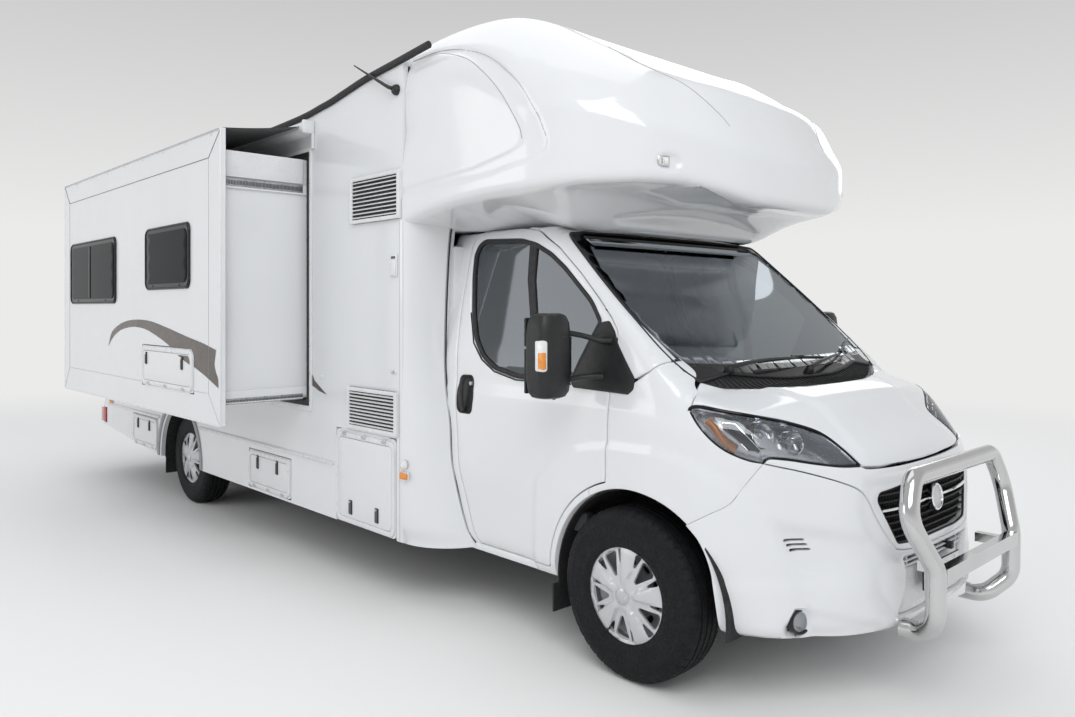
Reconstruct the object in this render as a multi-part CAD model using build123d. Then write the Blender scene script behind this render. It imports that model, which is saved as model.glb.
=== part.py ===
from build123d import *
import os

# Coach-built motorhome with a slide-out room, in millimetres.
# Modelling axes: the front axle is at y = 0 and y grows towards the rear, x grows towards the
# vehicle's left, z is the height above the ground.  The right side (-x) is the driver's side
# and carries the slide-out.  Every piece is shifted at the end, so that the origin is the
# centre of the whole vehicle's footprint.

# ---------------------------------------------------------------- driving dimensions
WHEELBASE = 4640
BODY_WIDTH = 2360
BODY_REAR = 6640            # outer face of the rear wall
BODY_FRONT = 1424           # joint between the house walls and the overcab moulding
WALL = 34                   # sandwich wall
ROOF = 40
FLOOR_UNDER = 640
FLOOR = 56
SKIRT_FOOT = 340
SKIRT_TOP = 670
ROOF_REAR_Z = 2795
ROOF_STEP_Y = 2500          # the roof starts to climb towards the overcab here
ROOF_STEP_Z = 2803
ROOF_CREST_Y = 1600
ROOF_CREST_Z = 2945
ROOF_FRONT_Z = 2960
GAP = 6                     # clearance round a moving panel
FIT = 0.3                   # running clearance at a guide or a pin

# cab
CAB_HALF = 1025             # half width at the waist
CAB_SKIN = 45               # panel with its inner frame
CAB_FOOT = 330
CAB_REAR = 1400
CAB_ROOF = 2045
WAIST_Z = 1250
ARCH_Y = -30
ARCH_Z = 360
ARCH_R = 470
ARCH_LIP = 30               # strip of wing left between the arch and the door
LINER = 8
LINER_INNER_X = 560

# wheels
TYRE_R = 372
TYRE_W = 225
RIM_R = 208
FRONT_TRACK = 1810
REAR_TRACK = 1980
KINGPIN_HALF = 850          # kingpin's distance from the centre plane
STUB_R = 34
STUB_REACH = 62             # the stub axle runs this far outboard of the tyre's middle
REAR_ARCH_R = 430

# slide-out room
SLIDE_TRAVEL = 535
SLIDE_HOLE = (2470, 5650, 1030, 2556)    # y0, y1, z0, z1 of the hole in the right wall
SLIDE_PLAY = 25                          # box to hole, front and rear
SLIDE_PLAY_Z = 15                        # box to hole, top and bottom
SLIDE_SKIN = 30
SLIDE_STANDOFF = 49                      # outer face to the wall, room driven in
SLIDE_REACH = SLIDE_TRAVEL + SLIDE_STANDOFF
SKIN_FRAME = (2417, 5703, 918, 2655)     # y0, y1, z0, z1 of the outer face
SLIDE_WALL = 30
RACK = 15                                # the drive rack stands this proud of the box's side
RACK_H = 56
OPENING_TRIM = 12
TOPPER_R = 30
TOPPER_Z = 2735

# doors and lockers
DOOR_HINGE_Y = 118
CAB_HINGE_X = 1021          # pivot line of the cab doors, just inside the widest part
DOOR_TOP = 2000
DOOR_FOOT = 385
ENTRY = (2300, 2960, 700, 2520)          # y0, y1, z0, z1 of the entry door in the left wall
ROOF_HATCH = (3000, 3500, 700)           # y0, y1, width of the roof hatch's lid
LID_H = 60

# bull bar and extremes
BULL_TUBE = 38              # tube radius
BULL_REACH = 1104           # the lower cross bar's front face, ahead of the front axle
MIRROR_REACH = 1300
AWNING_DEPTH = 100
TOW_LENGTH = 150            # the tow bar's reach behind the rear wall

HALF = BODY_WIDTH / 2
SLIDE_FACE_X = -HALF - SLIDE_REACH
SLIDE_INNER_X = -HALF + 90               # open inner end of the box, room extended
AWNING_REACH = HALF + AWNING_DEPTH
TOW_REACH = BODY_REAR + TOW_LENGTH
CHASSIS_REAR = BODY_REAR - 160
BUMPER_Y = BODY_REAR - 130               # the rear bumper's and the skirts' joint
INNER = HALF - WALL
FLOOR_TOP = FLOOR_UNDER + FLOOR

FAR = 9000                  # beyond the vehicle in any direction

SIDE = Plane.YZ                                          # outlines given as (y, z)
PLAN = Plane.XY                                          # outlines given as (x, y)
FRONT = Plane(origin=(0, 0, 0), x_dir=(1, 0, 0), z_dir=(0, -1, 0))   # outlines as (x, z)

parts = {}


# ---------------------------------------------------------------- helpers
def block(x0, x1, y0, y1, z0, z1):
    return Pos((x0 + x1) / 2, (y0 + y1) / 2, (z0 + z1) / 2) * Box(x1 - x0, y1 - y0, z1 - z0)


def area(points, radius=0):
    """Closed outline with each corner rounded by radius, one number or one for each corner."""
    if radius == 0:
        return make_face(Polyline(*points, close=True))
    return make_face(FilletPolyline(*points, radius=radius, close=True))


def along_x(face, x0, x1):
    return extrude(SIDE.offset(x0) * face, amount=x1 - x0)


def along_y(face, y0, y1):
    """FRONT looks from the nose, so its own normal points to -y."""
    return extrude(FRONT.offset(-y1) * face, amount=y1 - y0)


def along_z(face, z0, z1):
    return extrude(PLAN.offset(z0) * face, amount=z1 - z0)


def mirrored(shape):
    return mirror(shape, about=Plane.YZ)


def both(shape):
    return [shape, mirrored(shape)]


def rod(start, end, radius):
    axis = Vector(*end) - Vector(*start)
    plane = Plane(origin=start, z_dir=axis)
    return extrude(plane * Circle(radius), amount=axis.length)


def barrel(start, end):
    """Hinge barrel on a door's pivot line; it runs FIT clear of the frame round the door."""
    return rod(start, end, GAP - FIT)


def rect(y0, y1, z0, z1, radius=0):
    return area([(y0, z0), (y1, z0), (y1, z1), (y0, z1)], radius)


def keep(name, *shapes):
    """Collects the solids of one node."""
    solids = []
    for shape in shapes:
        solids.extend(shape.solids())
    parts[name] = solids


def cut(shape, *tools):
    for tool in tools:
        shape = shape - tool
    return shape


# ---------------------------------------------------------------- cab shell
def cab_side():
    """Side outline (y, z): sill, bumper, bonnet, windscreen and roof."""
    points = [
        (CAB_REAR, CAB_FOOT), (-450, CAB_FOOT), (-860, 265), (-945, 330), (-952, 640),
        (-900, 880), (-845, 965), (-520, 1180), (-250, 1265), (524, 1990), (640, CAB_ROOF),
        (CAB_REAR, CAB_ROOF),
    ]
    radii = [0, 60, 40, 60, 120, 40, 60, 500, 30, 60, 120, 0]
    return area(points, radii)


def cab_plan():
    """Plan outline (x, y): the nose rounds off from the wings to the middle of the bumper."""
    right = [(-CAB_HALF, CAB_REAR), (-CAB_HALF, -120), (-990, -380), (-840, -600), (-600, -810),
             (-300, -925)]
    radii = [0, 300, 250, 400, 500, 500]
    left = [(-x, y) for x, y in reversed(right)]
    return area(right + left, radii + list(reversed(radii)))


def cab_front():
    """Front outline (x, z): sill, waist and the upper sides leaning in to the roof."""
    right = [(-930, CAB_FOOT - 80), (-1005, 420), (-CAB_HALF, 760), (-1015, 1120),
             (-985, WAIST_Z + 30), (-855, 1950), (-800, CAB_ROOF)]
    radii = [0, 120, 200, 200, 200, 60, 0]
    left = [(-x, z) for x, z in reversed(right)]
    return area(right + left, radii + list(reversed(radii)))


def cab_solid(inset):
    side = cab_side()
    plan = cab_plan()
    front = cab_front()
    if inset:
        side = offset(side, amount=-inset)
        plan = offset(plan, amount=-inset)
        front = offset(front, amount=-inset)
    return along_x(side, -FAR, FAR) & along_z(plan, 0, FAR) & along_y(front, -FAR, FAR)


cab_outer = cab_solid(0)
cab_inner = cab_solid(CAB_SKIN)
# the cab is open behind the seats, into the house
CAB_BACK_HALF = 720
CAB_BACK_FOOT = 420
cab_back_hole = block(-CAB_BACK_HALF, CAB_BACK_HALF, CAB_REAR - 2 * CAB_SKIN, CAB_REAR + 1,
                      CAB_BACK_FOOT, CAB_ROOF - CAB_SKIN)
cab_inner_open = cab_inner + cab_back_hole
cab_shell = cab_outer - cab_inner_open

arch_round = along_x(Pos(ARCH_Y, ARCH_Z) * Circle(ARCH_R), -FAR, FAR)
arch_cut = (arch_round + block(-FAR, FAR, ARCH_Y - ARCH_R, ARCH_Y + ARCH_R, 0, ARCH_Z)) \
    - block(-LINER_INNER_X, LINER_INNER_X, -FAR, FAR, 0, FAR)


def door_outline():
    """Side outline of a cab door; the wheel arch bites its lower corner."""
    points = [(DOOR_HINGE_Y, DOOR_FOOT), (DOOR_HINGE_Y, 1460), (610, DOOR_TOP), (1215, DOOR_TOP),
              (1240, 1600), (1205, 1200), (1160, 760), (1060, 450), (1020, DOOR_FOOT)]
    radii = [0, 120, 160, 60, 400, 400, 400, 60, 20]
    face = area(points, radii)
    bite = Pos(ARCH_Y, ARCH_Z) * Circle(ARCH_R + ARCH_LIP + GAP)
    return face - bite


WINDOW = [(1128, 1955), (630, 1950), (195, 1555), (300, 1262), (1010, 1255)]
WINDOW_RADII = [70, 70, 25, 60, 170]


def window_outline(inset=0):
    face = area(WINDOW, WINDOW_RADII)
    return offset(face, amount=-inset) if inset else face


# outlines seen from the front, right half first; the bonnet's edge follows the lamps' tops
BONNET_EDGE = [(-1010, 1228), (-955, 1206), (-755, 1122), (-560, 1000), (-440, 964), (0, 942)]
LAMP = [(-966, 1203), (-755, 1116), (-556, 992), (-520, 974), (-700, 984), (-868, 1012)]
SEAM_Y = -283               # rear edge of the bonnet
BONNET_HINGE_Z = 1253       # its hinge line lies in the outer face, across the rear edge
bonnet_line = BONNET_EDGE + [(-x, z) for x, z in reversed(BONNET_EDGE[:-1])]
above_bonnet_line = along_y(area(bonnet_line + [(1010, 2100), (-1010, 2100)]), -1300, SEAM_Y)
lamp_prism = along_y(area(LAMP), -1300, -200)
bumper_zone = along_x(area([(-2000, 0), (-300, 0), (-300, 250), (-381, 737), (-544, 833),
                            (-675, 1012), (-2000, 1012)]), -FAR, FAR)
scuttle_zone = block(-905, 905, SEAM_Y, -190, 1150, 1500)
screen_hole = along_y(area([(-905, 1318), (-835, 1600), (-800, 1948), (-600, 1972), (600, 1972),
                            (800, 1948), (835, 1600), (905, 1318)], [60, 0, 70, 0, 0, 70, 0, 60]),
                      -190, 640)

# ---------------------------------------------------------------- cab pieces
lamps_both = (cab_shell & lamp_prism) + (cab_shell & mirrored(lamp_prism))
bonnet = cab_shell & (Pos(0, 0, GAP) * above_bonnet_line) & block(-FAR, FAR, -FAR, SEAM_Y - GAP, 0, 1400)
scuttle = cab_shell & scuttle_zone
windscreen = (cab_shell & screen_hole) & along_x(area([(-400, 1100), (600, 2037), (600, 2200),
                                                      (-400, 2200)]), -FAR, FAR)
GRILLE = [(-470, 868), (-345, 648), (345, 648), (470, 868)]
grille_hole = along_y(area(GRILLE, 25), -1300, -700)
bumper_all = cut(cab_shell & bumper_zone, above_bonnet_line, lamp_prism, mirrored(lamp_prism),
                 arch_cut)
front_bumper = bumper_all - grille_hole
grille_blank = (cab_shell & grille_hole) & along_y(area(GRILLE, 25), -1300, -700)
SLATS = 5
(top_half, grille_top), (low_half, grille_low) = [(-x, z) for x, z in GRILLE[:2]]
slat_pitch = (grille_top - grille_low) / (SLATS + 1)
grille = grille_blank
for i in range(SLATS):
    z_mid = grille_low + slat_pitch * (i + 1)
    slot_half = low_half + (top_half - low_half) * (i + 1) / (SLATS + 1) - 35
    grille = grille - block(-slot_half, slot_half, -1300, -700, z_mid - 11, z_mid + 11)

door_gap = offset(door_outline(), amount=GAP)
door_prism = along_x(door_gap, -FAR, -600)
door_hole = door_prism + mirrored(door_prism)
FIREWALL_Y = -130
firewall = cab_inner & block(-FAR, FAR, FIREWALL_Y, FIREWALL_Y + 20, 0, 1210)

# side filler between the cab's rear pillar and the house wall
FILLER_SKIN = 30
FILLER_FRONT_X = CAB_HALF + 8
filler_side = area([(1252, 2090), (1252, 1600), (1217, 1200), (1172, 760), (1072, 450),
                    (1000, 335), (BODY_FRONT, 335), (BODY_FRONT, 2090)],
                   [0, 400, 400, 400, 60, 0, 0, 0])
filler_plan = area([(-FILLER_FRONT_X, 900), (-FILLER_FRONT_X, 1240), (-HALF, 1404),
                    (-HALF, BODY_FRONT), (-HALF + FILLER_SKIN + 14, BODY_FRONT),
                    (-FILLER_FRONT_X + FILLER_SKIN, 1262), (-FILLER_FRONT_X + FILLER_SKIN, 900)],
                   [0, 90, 15, 0, 15, 90, 0])
filler = along_x(filler_side, -FAR, 0) & along_z(filler_plan, 0, 2500)
filler_envelope = along_x(filler_side, -FAR, -FILLER_FRONT_X + FILLER_SKIN)

cab_body = cut(cab_shell, bumper_zone, above_bonnet_line, lamp_prism, mirrored(lamp_prism),
               scuttle_zone, screen_hole, arch_cut, door_hole, filler_envelope,
               mirrored(filler_envelope))
cab_body = cab_body + cut(firewall, arch_cut)
cab_body = cab_body.solids().sort_by(SortBy.VOLUME)[-1]

keep("cab_body", cab_body)
hinge_line = ((-480, SEAM_Y - GAP, BONNET_HINGE_Z), (480, SEAM_Y - GAP, BONNET_HINGE_Z))
keep("bonnet", bonnet + barrel(*hinge_line))
keep("front_bumper", front_bumper)
keep("grille", grille)
keep("scuttle", scuttle)
keep("windscreen", windscreen)
keep("headlamps", lamps_both)
keep("side_fillers", *both(filler))


# doors: one side is made and mirrored
def cab_door():
    panel = cab_shell & along_x(door_outline(), -FAR, -600)
    panel = panel - along_x(window_outline(), -FAR, -600)
    handle = cab_outer & along_x(rect(1003, 1118, 1056, 1240, 40), -FAR, -600)
    recess = handle - cab_solid(18)
    panel = panel - recess
    grip = Pos(-18, 0, 0) * (cab_shell & along_x(rect(1040, 1080, 1070, 1226, 15), -FAR, -600))
    panel = panel + (grip & block(-FAR, -600, 1000, 1120, 1060, 1240))
    for z in (858, 925):
        panel = panel + barrel((-CAB_HINGE_X, DOOR_HINGE_Y, z), (-CAB_HINGE_X, DOOR_HINGE_Y, z + 36))
    return panel.solids().sort_by(SortBy.VOLUME)[-1]


def door_glass():
    pane = cab_solid(14) - cab_solid(20)
    return pane & along_x(window_outline(), -FAR, -600)


def door_mirror():
    """Two arms carry a tall housing out to the width of the house body."""
    arm_y = 185
    base = (cab_solid(-14) - cab_solid(0)) & along_x(
        area([(130, 1250), (290, 1250), (250, 1430), (165, 1545), (130, 1520)], 12), -FAR, -600)
    reach = (-MIRROR_REACH + 130, 265)
    arms = rod((-985, arm_y, 1475), (*reach, 1500), 16) + rod((-1000, arm_y, 1290), (*reach, 1320), 16)
    arms = arms - cab_outer
    shell = block(-MIRROR_REACH, -MIRROR_REACH + 200, 215, 345, 1215, 1585)
    shell = fillet(shell.edges(), 38)
    return base + arms + shell


right_door = cab_door()
right_glass = door_glass()
right_mirror = door_mirror()
for side, turn in (("right", lambda s: s), ("left", mirrored)):
    keep("cab_door_" + side, turn(right_door))
    keep("cab_door_glass_" + side, turn(right_glass))
    keep("door_mirror_" + side, turn(right_mirror))

# ---------------------------------------------------------------- cab inside
dash_side = area([(FIREWALL_Y + 20, 700), (380, 700), (440, 980), (360, 1130), (60, 1190),
                  (FIREWALL_Y + 20, 1150)], [0, 40, 60, 60, 60, 0])
dash = along_x(dash_side, -880, 880) & cab_inner
dash = dash - block(-LINER_INNER_X + 60, LINER_INNER_X - 60, FIREWALL_Y, 330, 600, 820)
dash = dash - along_x(Pos(ARCH_Y, ARCH_Z) * Circle(ARCH_R + 10), -FAR, FAR)
WHEEL_X = -430
wheel_plane = Plane(origin=(WHEEL_X, 470, 1130), z_dir=(0, 0.72, 0.69))
steering = wheel_plane * Torus(190, 14) + wheel_plane * Box(360, 40, 18) \
    + extrude(wheel_plane * Circle(45), amount=20, both=True)
column = rod((WHEEL_X, 300, 965), (WHEEL_X, 466, 1126), 26)
keep("dashboard", (dash + column + steering))


def seat(x):
    """Pedestal, cushion, back and head restraint joined in one."""
    foot = block(x - 180, x + 180, 680, 1040, 375, 700)
    cushion = fillet(block(x - 250, x + 250, 600, 1120, 700, 850).edges(), 40)
    back = along_x(area([(1040, 800), (1160, 800), (1290, 1460), (1190, 1480)], 40), x - 240, x + 240)
    head = fillet(block(x - 130, x + 130, 1200, 1300, 1500, 1690).edges(), 35)
    posts = block(x - 60, x + 60, 1235, 1265, 1430, 1520)
    return foot + cushion + back + head + posts


SEAT_X = 430
keep("seats", seat(-SEAT_X), seat(SEAT_X))

# ---------------------------------------------------------------- overcab moulding
NOSE_Y = -277
NOSE_CORNER = (820, -70)
CAP_SKIN = 30
CAP_PROUD = 12           # by which the side and front outlines stand outside the plan
CAP_CORNER_Y = 561       # the plan's straight sides start here
CAP_LIP_Z = 2130
HUMP_Z = 3110
RISE = HUMP_Z - CAP_LIP_Z
ROOF_DISH = 60           # the cap's middle lies this much lower than its shoulders


def up(share):
    """Height at a share of the cap's rise over its lip."""
    return CAP_LIP_Z + share * RISE


def cap_plan():
    """Nose arc through both corners, then a tighter round into the straight sides."""
    cx, cy = NOSE_CORNER
    nose = ThreePointArc((-cx, cy), (0, NOSE_Y), (cx, cy))
    lead = nose % 1
    corner_left = TangentArc((cx, cy), (HALF, CAP_CORNER_Y), tangent=lead)
    corner_right = mirror(corner_left, about=Plane.YZ)
    sides = Polyline((HALF, CAP_CORNER_Y), (HALF, BODY_FRONT), (-HALF, BODY_FRONT),
                     (-HALF, CAP_CORNER_Y))
    return make_face([nose, corner_left, corner_right, sides])


def cap_side():
    tip = NOSE_Y - CAP_PROUD
    points = [(BODY_FRONT, 2085), (560, 2050), (430, 2060), (260, CAP_LIP_Z), (0, CAP_LIP_Z),
              (-110, 2040), (-215, 2000), (tip, 2060), (tip, up(0.17)), (-30, up(0.57)),
              (620, up(0.93)), (1000, up(0.99)), (BODY_FRONT, up(0.95))]
    radii = [0, 60, 60, 90, 90, 60, 25, 45, 0.15 * RISE, 0.25 * RISE, 0.6 * RISE, 0.5 * RISE, 0]
    return area(points, radii)


def cap_front():
    side = HALF + CAP_PROUD
    right = [(-850, 1900), (-870, 2045), (-side, 2110), (-side, up(0.72)), (-HALF + 160, HUMP_Z)]
    radii = [0, 20, 25, 0.12 * RISE, 0.15 * RISE]
    left = [(-x, z) for x, z in reversed(right)]
    return area(right + [(0, HUMP_Z - ROOF_DISH)] + left, radii + [0] + list(reversed(radii)))


CORNER_VIEW = Plane(origin=(0, 0, 0), x_dir=(1, -1, 0), z_dir=(-1, -1, 0))   # seen across a corner


def cap_corner():
    """Outline across a front corner (distance from the middle, z): the nose leans back."""
    points = [(-FAR, 1900), (500, 1900), (575, 2060), (660, CAP_LIP_Z), (665, up(0.31)),
              (590, up(0.51)), (460, up(0.68)), (260, up(0.89)), (60, up(1.02)), (-FAR, up(1.02))]
    shares = [0.2, 0.3, 0.4, 0.3, 0.2]
    return area(points, [0, 0, 60, 60] + [share * RISE for share in shares] + [0])


def cap_solid(inset):
    faces = [cap_side(), cap_plan(), cap_front(), cap_corner()]
    if inset:
        faces = [offset(face, amount=-inset) for face in faces]
    side, plan, front, corner = faces
    across = extrude(CORNER_VIEW * corner, amount=FAR, both=True)
    solid = along_x(side, -FAR, FAR) & along_z(plan, 1500, 3500) & along_y(front, -FAR, FAR)
    return solid & across & mirrored(across)


cap_outer = cap_solid(0)
cap_inner = cap_solid(CAP_SKIN)
cap_opening = block(-900, 900, BODY_FRONT - 2 * CAP_SKIN, BODY_FRONT + 1, 2130, 2880)
cap = cap_outer - cap_inner - cap_opening
cap = cut(cap, filler_envelope, mirrored(filler_envelope), cab_outer)
keep("overcab_cap", cap.solids().sort_by(SortBy.VOLUME)[-1])


# ---------------------------------------------------------------- house body
def roof_line(drop):
    """Side outline of everything under the roof's outer face, lowered by drop."""
    return [(BODY_REAR, ROOF_REAR_Z - drop), (ROOF_STEP_Y, ROOF_STEP_Z - drop),
            (ROOF_CREST_Y, ROOF_CREST_Z - drop), (BODY_FRONT, ROOF_FRONT_Z - drop)]


def body_side(drop, rear, foot):
    points = [(BODY_FRONT, foot), (rear, foot)] + [(min(y, rear), z) for y, z in roof_line(drop)]
    return area(points, [0, 0, 0, 1500, 400, 0])


wall_blank = body_side(ROOF, BODY_REAR, SKIRT_TOP)
roof_side = body_side(0, BODY_REAR, SKIRT_TOP) - wall_blank

# exterior openings of the right wall and skirt: y0, y1, z0, z1, hinge edge
LOCKERS = {
    "front": (1488, 2119, 345, 890, "top"),
    "middle": (2706, 3330, 360, 620, "bottom"),
    "rear": (WHEELBASE + 510, WHEELBASE + 1140, 380, 646, "bottom"),
}
LOCKER_DEPTH = 330
TUB = 6
LATCH_W = 36
LATCH_IN = 60               # a latch's middle, in from the door's free edge


def wheel_gap(radius):
    hole = along_x(Pos(WHEELBASE, TYRE_R) * Circle(radius), -FAR, FAR)
    return hole + block(-FAR, FAR, WHEELBASE - radius, WHEELBASE + radius, 0, TYRE_R)


rear_arch = wheel_gap(REAR_ARCH_R)
locker_holes = [block(-FAR, -HALF + WALL + 1, y0 - GAP, y1 + GAP, z0 - GAP, z1 + GAP)
                for y0, y1, z0, z1, edge in LOCKERS.values()]
sy0, sy1, sz0, sz1 = SLIDE_HOLE
slide_hole = block(-FAR, 0, sy0, sy1, sz0, sz1)
ey0, ey1, ez0, ez1 = ENTRY
entry_hole = block(0, FAR, ey0 - GAP, ey1 + GAP, ez0 - GAP, ez1 + GAP)

# framed windows of the house: wall, centre along the wall, centre height, width, height
BODY_WINDOWS = (
    ("left", 3750, 1860, 1000, 560),
    ("left", 5450, 1860, 1100, 560),
    ("rear", 0, 1860, 1000, 560),
)
FRAME_SWELL = 12            # a window frame's height over the wall


def window_block(wall, mid, height, width, tall, grow, outside, inside):
    face = rect(mid - width / 2 - grow, mid + width / 2 + grow, height - tall / 2 - grow,
                height + tall / 2 + grow, 60 + grow)
    if wall == "left":
        return along_x(face, HALF - inside, HALF + outside)
    if wall == "right":
        return along_x(face, -HALF - outside, -HALF + inside)
    return along_y(face, BODY_REAR - inside, BODY_REAR + outside)


window_holes = [window_block(*w, 0, 60, WALL + 5) for w in BODY_WINDOWS]
panes = [window_block(*w, 0, 4, 16) for w in BODY_WINDOWS]
frames = [window_block(*w, 28, FRAME_SWELL, 0) - window_block(*w, -18, FRAME_SWELL, 0)
          for w in BODY_WINDOWS]

wall_right = cut(along_x(wall_blank, -HALF, -INNER), slide_hole, rear_arch, *locker_holes)
VENTS = ((1440, 1940, 2094, 2360), (1468, 1974, 902, 1150))    # y0, y1, z0, z1 of the louvred vents
VENT_SLATS = 9
VENT_PROUD = 10
for y0, y1, z0, z1 in VENTS:
    frame_ring = along_x(rect(y0, y1, z0, z1, 12), -HALF - VENT_PROUD, -HALF)
    frame_ring = frame_ring - along_x(rect(y0 + 25, y1 - 25, z0 + 22, z1 - 22), -HALF - 50, -HALF)
    wall_right = wall_right + frame_ring
    pitch = (z1 - z0 - 44) / VENT_SLATS
    for i in range(VENT_SLATS):
        z_low = z0 + 22 + pitch * i
        wall_right = wall_right + along_x(
            rect(y0 + 20, y1 - 20, z_low + 4, z_low + pitch - 8), -HALF - VENT_PROUD + 2, -HALF)
left_holes = window_holes[:2]
wall_left = cut(along_x(wall_blank, INNER, HALF), entry_hole, rear_arch, *left_holes)
wall_rear = block(-INNER, INNER, BODY_REAR - WALL, BODY_REAR, SKIRT_TOP, ROOF_REAR_Z - ROOF)
wall_rear = wall_rear - window_holes[2]
keep("wall_right", wall_right)
keep("wall_left", wall_left)
keep("wall_rear", wall_rear)
keep("body_windows", *[p + f for p, f in zip(panes, frames)])

hy0, hy1, hatch_w = ROOF_HATCH
hatch_hole = block(-hatch_w / 2 + 50, hatch_w / 2 - 50, hy0 + 50, hy1 - 50, 2000, 3500)
hatch_kerb = block(-hatch_w / 2 + 30, hatch_w / 2 - 30, hy0 + 30, hy1 - 30,
                   ROOF_REAR_Z - 20, ROOF_STEP_Z + 20)
roof = (along_x(roof_side, -HALF, HALF) + hatch_kerb) - hatch_hole
keep("roof", roof)

REAR_FOOT = 455             # underside of the rear bumper
# skirts hang under the walls; the rear ones rise towards the bumper
skirt_face = area([(BODY_FRONT, SKIRT_FOOT), (WHEELBASE + REAR_ARCH_R + 54, SKIRT_FOOT),
                   (BUMPER_Y, REAR_FOOT), (BUMPER_Y, SKIRT_TOP), (BODY_FRONT, SKIRT_TOP)])
skirt_right = cut(along_x(skirt_face, -HALF, -INNER), rear_arch, *locker_holes)
skirt_left = cut(along_x(skirt_face, INNER, HALF), rear_arch)
keep("skirts", skirt_right, skirt_left)

# open-fronted tubs behind the locker doors
tubs = []
tub_room = []
for y0, y1, z0, z1, edge in LOCKERS.values():
    inside = block(-INNER - 50, -INNER + LOCKER_DEPTH - TUB, y0 - GAP, y1 + GAP, z0 - GAP, z1 + GAP)
    outside = block(-INNER, -INNER + LOCKER_DEPTH, y0 - GAP - TUB, y1 + GAP + TUB,
                    z0 - GAP - TUB, z1 + GAP + TUB)
    tub_room.append(outside)
    tubs.append(outside - inside)
keep("locker_tubs", *tubs)
LINER_REAR_X = 780          # inboard end of a rear wheel-arch liner
floor = block(-INNER, INNER, BODY_FRONT, BODY_REAR - WALL, FLOOR_UNDER, FLOOR_TOP)
floor = floor + block(-900, 900, CAB_REAR, BODY_FRONT + 1, FLOOR_UNDER, FLOOR_TOP)
rear_wells = wheel_gap(REAR_ARCH_R + LINER) \
    - block(-LINER_REAR_X + LINER, LINER_REAR_X - LINER, 0, FAR, 0, FAR)
keep("floor", cut(floor, rear_wells, *tub_room))

# wheel-arch liners, each with the mudflap that hangs behind it
liners = []
ring = Pos(ARCH_Y, ARCH_Z) * (Circle(ARCH_R) - Circle(ARCH_R - LINER))
front_liner = along_x(ring, -975, -LINER_INNER_X) & block(-FAR, 0, -FAR, FAR, 300, FAR)
cheek = along_x(Pos(ARCH_Y, ARCH_Z) * Circle(ARCH_R), -LINER_INNER_X - LINER, -LINER_INNER_X)
front_liner = front_liner + (cheek & block(-FAR, 0, -FAR, FAR, 480, FAR))
FLAP_FOOT = 190             # the mudflaps' lower edge
front_flap_y = ARCH_Y + ARCH_R
front_flap = block(-CAB_HALF + 15, -800, front_flap_y - LINER, front_flap_y, FLAP_FOOT, 320)
front_liner = front_liner + front_flap
rear_ring = Pos(WHEELBASE, TYRE_R) * (Circle(REAR_ARCH_R + LINER) - Circle(REAR_ARCH_R))
rear_liner = along_x(rear_ring, -INNER, -LINER_REAR_X) & block(-FAR, 0, 0, FAR, CAB_FOOT, FAR)
rear_cheek = along_x(Pos(WHEELBASE, TYRE_R) * Circle(REAR_ARCH_R + LINER), -LINER_REAR_X,
                     -LINER_REAR_X + LINER)
rear_liner = rear_liner + (rear_cheek & block(-FAR, 0, 0, FAR, 620, FAR))
rear_flap_y = WHEELBASE + REAR_ARCH_R
rear_flap = block(-HALF + 40, -LINER_REAR_X - 100, rear_flap_y, rear_flap_y + LINER, FLAP_FOOT, 340)
rear_liner = rear_liner + rear_flap
keep("arch_liners", *both(front_liner), *both(rear_liner))

# ---------------------------------------------------------------- running gear
RAIL_HALF = 430
RAIL_Z0 = 450
RAIL_FRONT = CAB_REAR + 10
RAIL_REAR = CHASSIS_REAR
rails = []
for x in (-RAIL_HALF, RAIL_HALF):
    rails.append(block(x - 30, x + 30, RAIL_FRONT, RAIL_REAR, RAIL_Z0, FLOOR_UNDER - FIT))
chassis = rails[0] + rails[1]
OUTRIGGER_Y = (2400, 3500, RAIL_REAR - 580)
CROSS_Y = sorted((1500, WHEELBASE - 490, WHEELBASE + 510, RAIL_REAR - 40) + OUTRIGGER_Y)
for y in CROSS_Y:
    chassis = chassis + block(-RAIL_HALF - 30, RAIL_HALF + 30, y - 30, y + 30, RAIL_Z0 + 30, 600)
for y in OUTRIGGER_Y:
    chassis = chassis + block(-INNER, INNER, y - 20, y + 20, 540, 600)
keep("chassis_frame", chassis)

front_half = FRONT_TRACK / 2
rear_half = REAR_TRACK / 2
beam = block(-RAIL_HALF - 40, RAIL_HALF + 40, -70, 90, 210, 300)
for x in (-RAIL_HALF, RAIL_HALF):
    beam = beam + block(x - 30, x + 30, -70, RAIL_FRONT + 70, 280, CAB_FOOT - FIT)
    beam = beam + block(x - 30, x + 30, RAIL_FRONT, RAIL_FRONT + 70, 280, RAIL_Z0)
for sign in (-1, 1):
    inner_x = sign * (RAIL_HALF + 20)
    pin_x = sign * KINGPIN_HALF
    beam = beam + rod((inner_x, 0, 240), (pin_x, 0, 240), 24)
    beam = beam + rod((pin_x, 0, 215), (pin_x, 0, 264), 26)
keep("front_subframe", beam)
keep("engine_block", block(-330, 300, -600, -150, CAB_FOOT + CAB_SKIN + FIT, 960))

dead_axle = rod((-rear_half + 120, WHEELBASE, TYRE_R), (rear_half - 120, WHEELBASE, TYRE_R), 45)
for sign in (-1, 1):
    arm_x = sign * RAIL_HALF
    dead_axle = dead_axle + block(arm_x - 28, arm_x + 28, WHEELBASE - 90, WHEELBASE + 90,
                                  TYRE_R - 20, RAIL_Z0)
    dead_axle = dead_axle + rod((sign * (rear_half - 130), WHEELBASE, TYRE_R),
                                (sign * (rear_half + STUB_REACH), WHEELBASE, TYRE_R), STUB_R)
keep("rear_axle", dead_axle)


STRUT_X = -front_half + TYRE_W / 2 + 42      # the strut stands inboard of the tyre
STRUT_TOP = 800


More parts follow.
